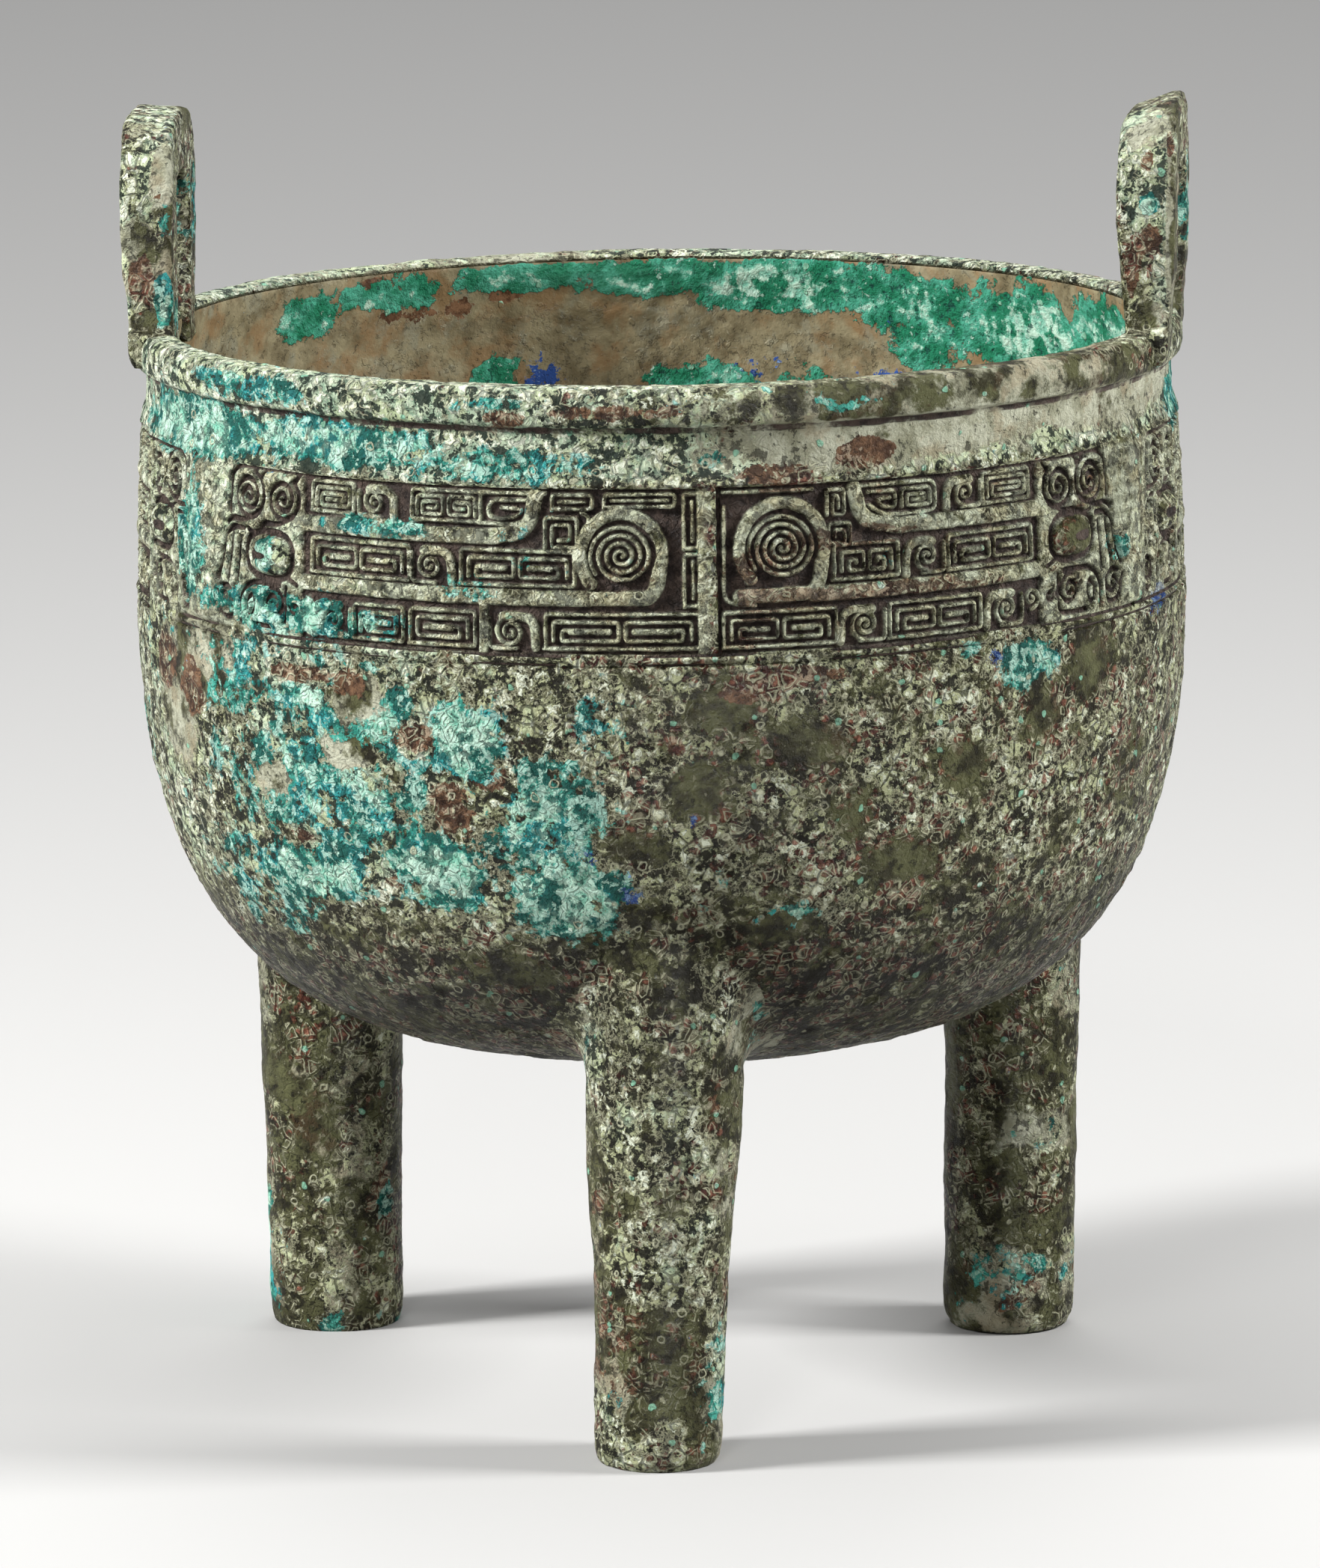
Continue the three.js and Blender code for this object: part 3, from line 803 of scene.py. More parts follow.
def rounded(corners, radius=1.2, steps=5):
    """A line through corners, each cut back by the radius, or by half a side if that is less,
    and turned on a quadratic curve: start (1-s)^2 + corner 2s(1-s) + end s^2."""
    corners = np.asarray(corners, float)
    line = [corners[0]]
    for before, corner, after in zip(corners[:-2], corners[1:-1], corners[2:]):
        back, ahead = before - corner, after - corner
        reach = min(radius, np.hypot(*back) / 2, np.hypot(*ahead) / 2)
        start = corner + back / max(np.hypot(*back), 1e-9) * reach
        end = corner + ahead / max(np.hypot(*ahead), 1e-9) * reach
        for share in np.linspace(0, 1, steps):
            line.append(start * (1 - share) ** 2 + corner * 2 * share * (1 - share) + end * share ** 2)
    line.append(corners[-1])
    return np.array(line)


def coil(u, v, radius, pitch, start, way=1, stretch=1.0, core=0.25):
    """A round spiral from its outer end inwards, whose radius falls evenly with the angle.
    start is the outer end's angle in turns, counted from +u towards +v, and way is 1 or -1."""
    turns = (radius - core) / pitch
    share = np.linspace(0, 1, int(turns * 26) + 2)
    reach = radius + (core - radius) * share
    angle = 2 * np.pi * (start + way * turns * share)
    return np.stack([u + stretch * reach * np.cos(angle), v + reach * np.sin(angle)], axis=-1)


def fret(u0, u1, v0, v1, pitch=1.3, way=1):
    """A squared spiral from a lower corner inwards until there is no room. way -1 mirrors
    it left to right."""
    low, high = u0, u1
    line = [(u0, v0)]
    while u1 - u0 > pitch * 0.9 and v1 - v0 > -0.01:
        line += [(u0, v1), (u1, v1), (u1, v0)]
        if u1 - u0 > 2 * pitch:
            line.append((u0 + pitch, v0))
        u0, u1, v0, v1 = u0 + pitch, u1 - pitch, v0 + pitch, v1 - pitch
    line = np.array(line)
    if way < 0:
        line[:, 0] = low + high - line[:, 0]
    return rounded(line, 0.5, 3)


print("a fret of 9 by 5 mm has", len(fret(0, 9, 0, 5)), "points")

# %% [markdown]
# ## One half of a mask
#
# A mask faces the viewer, split by its nose. From the nose outwards each half has an eye under
# twin coils, then a broad horn ridge and a broad body ridge that run to the tail. The body
# curls over a great coil there. Hooks in thin frames and small coils fill every gap. A mask's
# two halves aren't alike: one is longer, and has thin upright loops by the divider.

# %% define the motifs
THIN = 0.52
BROAD = 2.5
CUT = 0.8
ROW_TOP = (21.4, 26.3)
ROW_MIDDLE = (11.2, 16.9)
ROW_LOW = (0.9, 6.6)


def box(sheet, u0, u1, row, hooks=2, pitch=1.4, first=1):
    """A thin frame round squared hooks that turn away from each other."""
    v0, v1 = row
    sheet.draw(rounded([(u0, v0), (u0, v1), (u1, v1), (u1, v0), (u0 - 0.3, v0)], 0.5, 3), THIN)
    margin = 0.95 if v1 - v0 < 5 else 1.3
    width = (u1 - u0 - 2 * margin + 1.1) / hooks
    for i in range(hooks):
        start = u0 + margin + i * width
        way = first * (1 - 2 * (i % 2))
        sheet.draw(fret(start, start + width - 1.1, v0 + margin, v1 - margin, pitch, way), THIN)


def hooked_coil(sheet, u, row, radius, side):
    """A small round coil under a thick ridge that comes down on one side of it."""
    v = sum(row) / 2 - 0.2
    sheet.draw(coil(u, v, radius, 1.2, 0.5 - 0.25 * side, side), THIN + 0.06)
    over = [(u - side * radius * 0.9, v + radius * 0.5), (u - side * radius * 0.6, row[1] - 0.5),
            (u + side * (radius + 1.5), row[1] - 0.5), (u + side * (radius + 1.7), row[0])]
    sheet.draw(rounded(over, 2.4, 6)[4:], 1.35)
    foot = [(u - side * (radius + 1.1), row[1] - 1), (u - side * (radius + 1.1), row[0] - 0.1),
            (u + side * radius * 0.4, row[0] - 0.1)]
    sheet.draw(rounded(foot, 1, 4), THIN)


def tail(sheet, u, v, radius):
    """The great coil, and the broad ridge that curls round it into the body."""
    sheet.draw(coil(u, v, radius, 1.3, 0.6, -1, 1.05), 0.6)
    outer = radius + 1.7
    angle = np.radians(np.linspace(222, -22, 40))
    over = np.stack([u + outer * np.cos(angle), v + outer * 1.02 * np.sin(angle)], axis=-1)
    sheet.draw(over, 2.0)
    under = [over[-1], (u + outer * 0.8, 9.3), (u - outer, 9.2)]
    sheet.draw(rounded(under, 5, 9), 2.3)


def loops(sheet, u0, u1, v0, v1):
    """A long closed loop with a bar along its middle."""
    sheet.draw(rounded([(u0, v0), (u1, v0), (u1, v1), (u0, v1), (u0, v0 - 0.2)], 0.6, 3), 0.5)
    middle_u, middle_v = (u0 + u1) / 2, (v0 + v1) / 2
    if u1 - u0 > v1 - v0:
        sheet.draw([(u0 + 1.2, middle_v), (u1 - 1.2, middle_v)], 0.45)
    else:
        sheet.draw([(middle_u, v0 + 1.2), (middle_u, v1 - 1.2)], 0.5)


# %% define the face beside the nose
def brow_and_eye(sheet, u, v):
    """The smooth face beside the nose and the lines cut into it. The eye is at (u, v)."""
    def cut(line, width=CUT):
        """A groove along a line."""
        sheet.draw(line, width, "cut")

    # the face is one smooth ridge, filled by broad strokes that overlap
    for v_stroke in np.arange(13) * 2.4 - 1:
        sheet.draw([(-8, v_stroke), (24.6, v_stroke)], 4)

    # twin coils over the eye, each with a tail that runs down between them
    for middle, radius, begin in ((u - 5.6, 4.3, 0.2), (u + 3.1, 4.0, 0.14)):
        cut(coil(middle, 22.4, radius, 1.55, begin, -1), 0.85)
        cut(rounded([(middle + radius * 0.55, 22.4 - radius * 0.6), (middle - radius * 0.3, 18.0),
                     (middle - radius * 1.1, 18.2), (middle - radius * 1.35, 17.2)], 1.6), 0.8)
        cut([(middle + radius * 0.7, 25.2), (middle + radius * 0.95, 26.9)], 0.75)

    # the rim of the eye, a rounded square, and the corner strokes that leave it
    turn = np.linspace(0, 2 * np.pi, 60)
    ring_u = u + 5.7 * np.sign(np.cos(turn)) * np.abs(np.cos(turn)) ** 0.75
    ring_v = v + 3.9 * np.sign(np.sin(turn)) * np.abs(np.sin(turn)) ** 0.75
    cut(np.stack([ring_u, ring_v], axis=-1), 1.1)

    # the frame round the coils, which opens above into the strip along the band's top
    cut(rounded([(u - 10.6, 19.2), (u - 10.2, 25.6), (u - 8.4, 27.2), (u + 9, 27.3)], 1.6), 0.9)
    cut([(u + 4.2, v - 3.4), (u + 6.6, v - 4.4)], 0.8)
    cut([(u - 4.4, v + 3.4), (u - 5.6, v + 3.9)], 0.8)

    # three leaning bars between the eye and the nose, joined at their heads
    heads = [(u - 11.4, 15.2), (u - 9.6, 15.6), (u - 7.4, 15.2)]
    for (head_u, head_v), lean in zip(heads, (2.4, 1.5, 0.9)):
        cut([(head_u, head_v), (head_u - lean * 0.4, 11.5), (head_u - lean, 7.6)], 0.75)
    cut(rounded([heads[0], (u - 9.8, 16.8), (u - 6.8, 16.7)], 1.4), 0.75)

    # claws: a small coil, a long stroke, an oval, a larger coil and an upright at the end
    cut(coil(u - 11.6, 4.5, 2.3, 1.3, 0.35, -1), 0.75)
    cut(rounded([(u - 9.4, 5.4), (u - 9.6, 1.2), (u - 13.4, 1.3), (u - 14, 5.5)], 2), 0.8)
    cut(rounded([(u - 7.4, 1.0), (u - 7.6, 5.6), (u - 5, 8.0), (u + 2.6, 8.2)], 2.2), 0.85)
    cut(rounded([(u - 5.5, 2.4), (u - 5.9, 4.6), (u - 4.3, 6.4), (u - 3.6, 3.4), (u - 5.1, 1.9)], 1.2), 0.7)
    cut(coil(u + 1.0, 4.9, 2.7, 1.35, 0.3, -1), 0.8)
    cut(rounded([(u - 3.4, 1.0), (u + 0.6, 0.9), (u + 4.0, 1.3), (u + 4.1, 7.8)], 1.6), 0.8)
    cut(coil(u + 6.2, 4.6, 1.2, 1.1, 0.5, 1), 0.7)


# %% lay out the two halves
def long_half(sheet, length):
    """The longer half. u runs from the nose."""
    brow_and_eye(sheet, 18.6, 12.9)
    tail(sheet, 85.4, 16.3, 5.1)
    sheet.draw([(25, 9.3), (80, 9.2)], BROAD)
    horn = [(25, 19.1), (64, 19.1), (69.8, 20.4), (71, 25.9)]
    sheet.draw(rounded(horn, 5, 9), BROAD)

    box(sheet, 28.6, 37.4, ROW_TOP, 1, 1.05)
    hooked_coil(sheet, 41.6, ROW_TOP, 2.1, 1)
    box(sheet, 48.9, 61.4, ROW_TOP, 2, 0.98)
    slanted = [(69.6, 25.2), (63.8, 25.2), (62.8, 24.2), (62.9, 22.5), (64.6, 22.0), (68, 22.6),
               (68.9, 23.7), (65.2, 23.9)]
    sheet.draw(rounded(slanted, 0.9, 4), THIN)
    sheet.draw(rounded([(61.4, 26.3), (72.6, 26.4)], 1), THIN)
    sheet.draw(rounded([(61.4, 21.3), (67.6, 21.2), (69.8, 22.4)], 1), THIN)

    # between the horn's end and the tail: a squared coil, with loops over it
    sheet.draw(fret(72.6, 78.0, 17.6, 22.4, 1.15), THIN)
    loops(sheet, 73.8, 80.6, 23.9, 26.2)
    loops(sheet, 82.6, 94.4, 24.3, 26.3)
    sheet.draw(rounded([(78.8, 23.4), (80.2, 22.6), (79.2, 19)], 1), THIN)

    box(sheet, 28.6, 48.4, ROW_MIDDLE)
    hooked_coil(sheet, 52.3, ROW_MIDDLE, 2.3, 1)
    box(sheet, 58.0, 77.6, ROW_MIDDLE)

    hooked_coil(sheet, 33.2, ROW_LOW, 2.5, -1)
    box(sheet, 37.6, 47.2, ROW_LOW, 1)
    box(sheet, 48.6, 60.4, ROW_LOW, 1, 1.4, -1)
    sheet.draw([(62, 0), (62, 8)], 1.5)
    hooked_coil(sheet, 66.6, ROW_LOW, 2.6, 1)
    box(sheet, 72.6, 98.2, ROW_LOW)
    loops(sheet, 95.8, 98.7, 17.4, 26.3)
    loops(sheet, 95.8, 98.7, 7.9, 16.4)
    sheet.draw([(length, -1), (length, BAND_HEIGHT + 1)], 3.2)
    return 18.6, 12.9


def short_half(sheet, length):
    """The shorter half. Behind the eye, u is counted from the divider."""
    brow_and_eye(sheet, 18.0, 13.8)
    sheet.count_from(length, -1)
    tail(sheet, 12.7, 17.0, 5.6)
    sheet.draw([(62.4, 9.2), (18, 9.1)], BROAD)
    horn = [(62.4, 19.4), (32, 19.4), (26.6, 20.8), (25.4, 25.9)]
    sheet.draw(rounded(horn, 5, 9), BROAD)

    # two squared coils beside the tail, and a pair of hooks inside the horn's curl
    sheet.draw(fret(20.6, 23.6, 21.9, 26.0, 1.0), THIN)
    sheet.draw(fret(20.8, 24.6, 17.2, 20.4, 1.0, -1), THIN)
    sheet.draw(rounded([(26.8, 26.3), (40.6, 26.3), (40.6, 21.3), (31, 21.2), (28, 23)], 1.4), THIN)
    sheet.draw(fret(34.2, 39.6, 22.4, 25.2, 0.98), THIN)
    curl = [(28.0, 25.2), (33, 25.2), (33, 22.4), (30.6, 22.6), (29.4, 23.9), (31.9, 24.0)]
    sheet.draw(rounded(curl, 0.8, 4), THIN)
    hooked_coil(sheet, 46.6, ROW_TOP, 2.1, -1)
    box(sheet, 50.4, 60.6, ROW_TOP, 1, 1.05)

    box(sheet, 21.6, 33.2, ROW_MIDDLE, 2, 1.3)
    hooked_coil(sheet, 38.6, ROW_MIDDLE, 2.3, -1)
    box(sheet, 42.8, 60.8, ROW_MIDDLE)

    box(sheet, 2.6, 21.8, ROW_LOW)
    hooked_coil(sheet, 26.8, ROW_LOW, 2.6, -1)
    box(sheet, 31.4, 49.2, ROW_LOW)
    hooked_coil(sheet, 54.6, ROW_LOW, 2.5, -1)
    sheet.draw(coil(60.4, 4.6, 1.9, 1.2, 0.75, 1), THIN)

    # the narrow leaf between the divider and the tail
    sheet.draw(rounded([(2.9, 24), (2.7, 8.3), (8, 7.7)], 2, 5), THIN)
    sheet.draw(rounded([(18, 26.3), (2.8, 26.4)], 2, 5), THIN)
    sheet.draw([(0, -1), (0, BAND_HEIGHT + 1)], 3.2)
    return 18.0, 13.8


print("carving laid out")

# %% [markdown]
# ## The carved band
#
# The drawn fields become relief. The ground lies under the face of the wall, a ridge rises
# from it with a short slope, and wear wavers along its edge. The nose is a low half-round rib,
# and each eye a boss with a slit. Six closed slabs carry the band, two to a mask. They part
# along a nose and in the ground beside a divider, and reach a little way behind the plain
# wall. A thin rib between two lines runs round under the carving.

# %% define the relief
MASK_ANGLE = 120.0
DIVIDER_AZIMUTH = 5.0
NARROW_ANGLE = 56.6
GROUND = 0.8
NOSE_HALF = 5.2
NOSE_RISE = {"right": 1.0, "back": 0.4, "left": 1.0}
EYE_HALF_U, EYE_HALF_V, EYE_RISE = 5.2, 3.4, 2.5
EDGE = 1.3
LOW_EDGE = 2.6
BACK = 2.3
MM_PER_DEGREE = math.radians(1) * GIRTH_RADIUS
HALF_DEPTH = 90.1


def relief(u, v, longer, length, points, crust, nose_rise):
    """Height over the wall and depth of groove at a grid of flat points, (u, v) arrays.
    Crust from 0 to 1 fills the carving."""
    sheet = Sheet(u, v)
    eye_u, eye_v = long_half(sheet, length) if longer else short_half(sheet, length)
    waver = (fractal(points, 1.6, 2, seed=21) - 0.5) * 0.3
    high = 1 - smoothstep(-0.14, 0.24, sheet.ridge + waver)
    high = high * smoothstep(-0.1, 0.28, sheet.cut + waver)
    border = smoothstep(0.25, -0.15, v) + smoothstep(BAND_HEIGHT + 0.05, BAND_HEIGHT + 0.45, v)
    high = np.maximum(high, border[None, :])
    filling = smoothstep(0.45, 0.8, crust) * smoothstep(0.4, 0.62, fractal(points, 3, 3, seed=25))
    groove = (1 - high) * (1 - 0.75 * filling)
    height = -GROUND * groove

    # the face of a broad ridge is a little round, and small lines are worn lower
    body = smoothstep(0, -1.2, sheet.ridge)
    height += (0.12 * body - 0.1 * (1 - body)) * (1 - groove)
    nose = np.clip(1 - (u / NOSE_HALF) ** 2, 0, 1)[:, None] ** 0.7
    ends = smoothstep(-0.4, 1.2, v) * smoothstep(BAND_HEIGHT + 0.4, BAND_HEIGHT - 1.2, v)
    height += nose_rise * nose * ends[None, :]

    # the eye's dome is half an ellipsoid sunk a little into the face
    across = (u - eye_u)[:, None] / EYE_HALF_U
    up = (v - eye_v)[None, :] / EYE_HALF_V
    dome = np.clip(1 - across ** 2 - up ** 2, 0, 1)
    slit = np.exp(-((across + 0.24) / 0.46) ** 4 - (up / (0.26 - 0.14 * across)) ** 2)
    boss = EYE_RISE * np.sqrt(dome) - 0.8 - 0.7 * slit
    height = np.where(dome > 0, np.maximum(height, boss), height)
    groove = np.where(dome > 0.08, slit, groove)
    raised = smoothstep(-3.2, -0.6, sheet.ridge) * smoothstep(-0.3, 0.4, v) * (u < length)[:, None]
    raised = raised * smoothstep(BAND_HEIGHT + 0.2, BAND_HEIGHT - 0.4, v) * (dome <= 0)

    # a thin rib under the carving, between two lines
    along = fractal(points, 12, 2, seed=27)
    rib = np.exp(-((v + 0.95) / 0.42) ** 2)[None, :] * smoothstep(0.3, 0.5, along)
    lines = np.exp(-((v + 0.25) / 0.32) ** 2) + 0.8 * np.exp(-((v + 1.75) / 0.3) ** 2)
    lines = lines[None, :] * smoothstep(0.3, 0.5, along)
    height += 0.4 * rib - 0.3 * lines
    groove = np.maximum(groove, lines)
    return height, groove, raised


def band_slab(name, nose_azimuth, side, nose_rise, reach, longer, steps_u, steps_v):
    """A closed slab of the band from the nose to a reach beside it. side is 1 where u runs to
    the right of the nose and -1 where it runs to the left. Its radius at (u, v) is the wall's
    plus the relief's height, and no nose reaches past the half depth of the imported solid."""
    angle = (MASK_ANGLE - NARROW_ANGLE) if longer else NARROW_ANGLE
    length = angle * MM_PER_DEGREE
    u = np.linspace(0, reach, steps_u)
    v = np.linspace(-LOW_EDGE, BAND_HEIGHT + EDGE, steps_v)
    z = BAND_BOTTOM_Z + v
    azimuth = nose_azimuth + side * u / MM_PER_DEGREE
    wall = outer_radius(z)
    flat = around(azimuth[:, None], wall[None, :], z[None, :])
    paint = corrosion(flat)
    height, groove, raised = relief(u, v, longer, length, flat, paint["green"], nose_rise)

    # the slab's margins dive under the plain wall
    dive = smoothstep(-1.85, -LOW_EDGE, v) + smoothstep(BAND_HEIGHT + 0.6, BAND_HEIGHT + EDGE, v)
    rough = (fractal(flat, 1.4, 3, seed=31) - 0.5) * 0.26 + (fractal(flat, 0.6, 2, seed=33) - 0.5) * 0.1
    crust = smoothstep(0.4, 0.8, paint["green"]) * 0.16
    skin = wall[None, :] - SKIN + height + rough * (0.35 + 0.65 * (1 - groove)) + crust
    skin = np.minimum(skin, HALF_DEPTH / np.abs(np.cos(np.radians(azimuth)))[:, None])
    skin = skin - dive[None, :]
    back_v = v[[-1, -1, 0, 0]] * np.array([1, 0.6, 0.6, 1]) + np.array([0, 0, 8, 0])
    back_wall = outer_radius(BAND_BOTTOM_Z + back_v) - BACK
    radius = np.concatenate([skin, np.broadcast_to(back_wall, (steps_u, 4))], axis=1)
    heights = np.concatenate([z, BAND_BOTTOM_Z + back_v])
    loops = around(azimuth[:, None], radius, heights[None, :])
    # the raised ridges' tops are marked for the pale colour, partly real wear and partly a painted
    # highlight
    values = {**paint, **plain(flat), "groove": groove, "worn": (1 - groove) * raised}
    values = {key: np.concatenate([value, np.zeros((steps_u, 4))], axis=1)
              for key, value in values.items()}
    if side < 0:
        loops = loops[::-1]
        values = {key: value[::-1] for key, value in values.items()}
    return loft(name, loops, values, bronze)


# %% build the band
BAND_ROWS = 148
COLUMN_STEP = 0.2
DETAIL = {"right": 1.0, "back": 0.56, "left": 1.0}
SEAM = 2.2
narrow = NARROW_ANGLE * MM_PER_DEGREE
wide = (MASK_ANGLE - NARROW_ANGLE) * MM_PER_DEGREE

for mask, label in enumerate(("right", "back", "left")):
    nose_azimuth = DIVIDER_AZIMUTH + NARROW_ANGLE + mask * MASK_ANGLE
    rows = int(BAND_ROWS * DETAIL[label])
    for longer, reach, side in ((False, narrow - SEAM, -1), (True, wide + SEAM, 1)):
        name = f"band_{label}_{'long' if longer else 'short'}"
        columns = int(reach / COLUMN_STEP * DETAIL[label])
        band_slab(name, nose_azimuth, side, NOSE_RISE[label], reach, longer, columns, rows)

# %% [markdown]
# ## The bowl
#
# One skin runs from the middle of the underside up the outer wall, over the lip and down
# inside to the middle of the floor. Behind the band it steps back out of sight.

# %% trace the outside and the lip
BEHIND_BAND = 1.45


def outside_rows():
    """The section from the underside to the lip's foot, as rows of radius, height, roughness
    and inside share."""
    under = np.concatenate([np.linspace(0.6, 48, 16), np.linspace(50, 78, 26)])
    rows = [(radius, underside_z(radius), 1.0, 0.0) for radius in under]
    for z in np.linspace(underside_z(78) + 0.9, BAND_BOTTOM_Z - 2.0, 58):
        rows.append((outer_radius(z), z, 1.0, 0.0))
    for z in (BAND_BOTTOM_Z - 1.7, BAND_BOTTOM_Z + 1.2, 154, BAND_TOP_Z - 1.2, BAND_TOP_Z - 0.25):
        rows.append((outer_radius(z) - BEHIND_BAND, z, 0.0, 0.0))
    for share in np.linspace(0, 1, 9):
        radius = BAND_TOP_RADIUS + (NECK_RADIUS - BAND_TOP_RADIUS) * smoothstep(0, 1, share)
        rows.append((radius, BAND_TOP_Z + 0.1 + 4.5 * share, 0.7, 0.0))
    rows += [(NECK_RADIUS, z, 0.6, 0.0) for z in np.linspace(172.6, LIP_FOOT_Z - 0.7, 6)]
    return rows


def lip_rows():
    """The lip: out, up a slightly round face, over and in, at even steps along a line."""
    lip = np.array([
        (NECK_RADIUS + 0.1, LIP_FOOT_Z - 0.15), (NECK_RADIUS + 0.8, LIP_FOOT_Z + 0.05),
        (LIP_OUTER - 0.35, LIP_FOOT_Z + 0.6), (LIP_OUTER + 0.05, LIP_FOOT_Z + 2.0),
        (LIP_OUTER + 0.1, LIP_FOOT_Z + 3.8), (LIP_OUTER - 0.25, LIP_TOP_Z - 1.5),
        (LIP_OUTER - 1.2, LIP_TOP_Z - 0.3), (LIP_OUTER - 2.8, LIP_TOP_Z),
        (LIP_INNER + 1.5, LIP_TOP_Z - 0.05), (LIP_INNER + 0.35, LIP_TOP_Z - 0.55),
        (LIP_INNER, LIP_TOP_Z - 1.8), (LIP_INNER + 0.2, LIP_TOP_Z - 4.0),
        (LIP_INNER + 1.2, LIP_TOP_Z - 8.0), (BAND_TOP_RADIUS - WALL, BAND_TOP_Z),
    ])
    run = np.concatenate([[0], np.cumsum(np.hypot(*np.diff(lip, axis=0).T))])
    at = np.linspace(0, run[-1], 52)[:-1]
    radius, z = np.interp(at, run, lip[:, 0]), np.interp(at, run, lip[:, 1])
    inside = (radius < LIP_INNER + 3) & (z < LIP_TOP_Z - 1.6)
    return [(r, h, 0.6, float(share)) for r, h, share in zip(radius, z, inside)]


# %% trace the inside
def inside_rows():
    """The section from under the lip to the middle of the floor: the outer wall's superellipse
    one wall further in, walked by an angle so that its rows lie evenly."""
    rows = []
    floor_z = BOWL_BOTTOM_Z + WALL
    inner = GIRTH_RADIUS - WALL
    for z in np.linspace(BAND_TOP_Z, GIRTH_Z, 10)[:-1]:
        rise = (z - GIRTH_Z) / (BAND_TOP_Z - GIRTH_Z)
        rows.append((inner - (inner - BAND_TOP_RADIUS + WALL) * rise, z, 0.5, 1.0))
    for turn in np.linspace(np.pi / 2, 0.02, 26):
        radius = inner * np.sin(turn) ** (2 / SIDE_POWER)
        z = GIRTH_Z - (GIRTH_Z - floor_z) * np.cos(turn) ** (2 / SHOULDER_POWER)
        rows.append((radius, z, 0.5, 1.0))
    return rows + [(0.4, floor_z, 0.5, 1.0)]


section = np.array(outside_rows() + lip_rows() + inside_rows())
print("the bowl's section has", len(section), "rows")

# %% place the patches inside the bowl
INSIDE_GREEN = [
    (214, 179, 10, 4, 0.8), (196, 180, 12, 3, 0.9), (180, 179, 12, 4, 1.0), (164, 178, 13, 6, 1.1),
    (148, 176, 12, 6, 1.0), (146, 169, 6, 7, 0.95), (130, 172, 12, 10, 1.1), (112, 174, 12, 8, 1.0),
    (98, 177, 9, 5, 0.9), (228, 176, 6, 5, 0.9), (200, 162, 4, 5, 0.95), (175, 160, 9, 5, 0.8),
    (163, 161, 4, 4, 0.7), (60, 172, 10, 6, 0.7), (-60, 178, 10, 3, 0.6), (10, 150, 20, 14, 0.5),
]
INSIDE_RUST = [
    (217, 181, 3, 2, 0.9), (199, 178, 3, 4, 0.8), (208, 175, 14, 3, 0.5), (120, 180, 8, 2, 0.5),
]
INSIDE_BLUE = [
    (194, 161, 3, 4, 1.0), (150, 161, 7, 3, 0.9), (168, 163, 4, 3, 0.7), (152, 172, 2, 2, 0.5),
]


def inside_paint(azimuth, z, inside):
    """The painted values that the bowl's inside has in place of the wall's."""
    return {
        "green": patches(azimuth, z, INSIDE_GREEN),
        "blue": patches(azimuth, z, INSIDE_BLUE),
        "rust": patches(azimuth, z, INSIDE_RUST),
        # painted shade: the inside darkens downwards from the lip
        "dark": 0.25 * smoothstep(180, 150, z) + np.zeros_like(inside),
    }


print(len(INSIDE_GREEN), "green patches inside the bowl")


# %% build the bowl
BOWL_COLUMNS = 452


def outward(section):
    """Unit normals of the section, to its right as it is walked."""
    step = np.gradient(section[:, :2], axis=0)
    normal = np.stack([step[:, 1], -step[:, 0]], axis=-1)
    return normal / np.linalg.norm(normal, axis=1, keepdims=True)


def build_bowl(columns):
    """The bowl: its section turned about the axis, each point moved along the section's normal
    by lumps and grit, less pits, plus crust where green is high."""
    azimuth = np.linspace(0, 360, columns, endpoint=False)[None, :]
    radius, z = section[:, 0:1], section[:, 1:2]
    rough, inside = section[:, 2:3], section[:, 3:4] + np.zeros((1, columns))
    points = around(azimuth, radius, z)
    paint = corrosion(points)
    within = inside_paint(azimuth, z, inside)
    paint = {key: np.where(inside > 0.5, within.get(key, value), value) for key, value in paint.items()}

    lump = fractal(points, 22, 3, seed=41) - 0.5
    knobbly = fractal(points, 3.4, 3, seed=43) - 0.5
    pit = smoothstep(0.42, 0.12, scatter(points, 4.2, seed=45))
    gritty = fractal(points, 1.7, 2, seed=47) - 0.5
    crust = smoothstep(0.45, 0.95, paint["green"])
    calm = 1 - 0.75 * smoothstep(0.4, 0.9, paint["smooth"])
    move = lump * 0.5 + (knobbly * 0.75 + gritty * 0.4 - pit * 0.35) * calm + crust * 0.25
    move = rough * move - SKIN * (rough > 0)
    normal = outward(section)
    shift = move[..., None] * around(azimuth, normal[:, 0:1], normal[:, 1:2])

    # painted shadow: the corner under the lip is darkened through the groove value, in the carving's earth
    # colour
    lip_shadow = np.exp(-((z - LIP_FOOT_Z + 0.4) / 0.8) ** 2) * (1 - inside)
    lip_shadow = lip_shadow * (0.35 + 0.6 * fractal(points, 9, 3, seed=49))
    values = {**paint, **plain(points), "inside": inside, "groove": lip_shadow}
    return loft("bowl", points + shift, values, bronze)


build_bowl(BOWL_COLUMNS)

# %% [markdown]
# ## Legs
#
# Each leg is a column that swells into the bowl in a smooth hollow curve. At a share s of the
# way along that curve, the surface lies k·s² from the bowl and k·(1-s)² from the column. The
# wider the angle between the two, the shorter k is: a radius times one less its cosine.

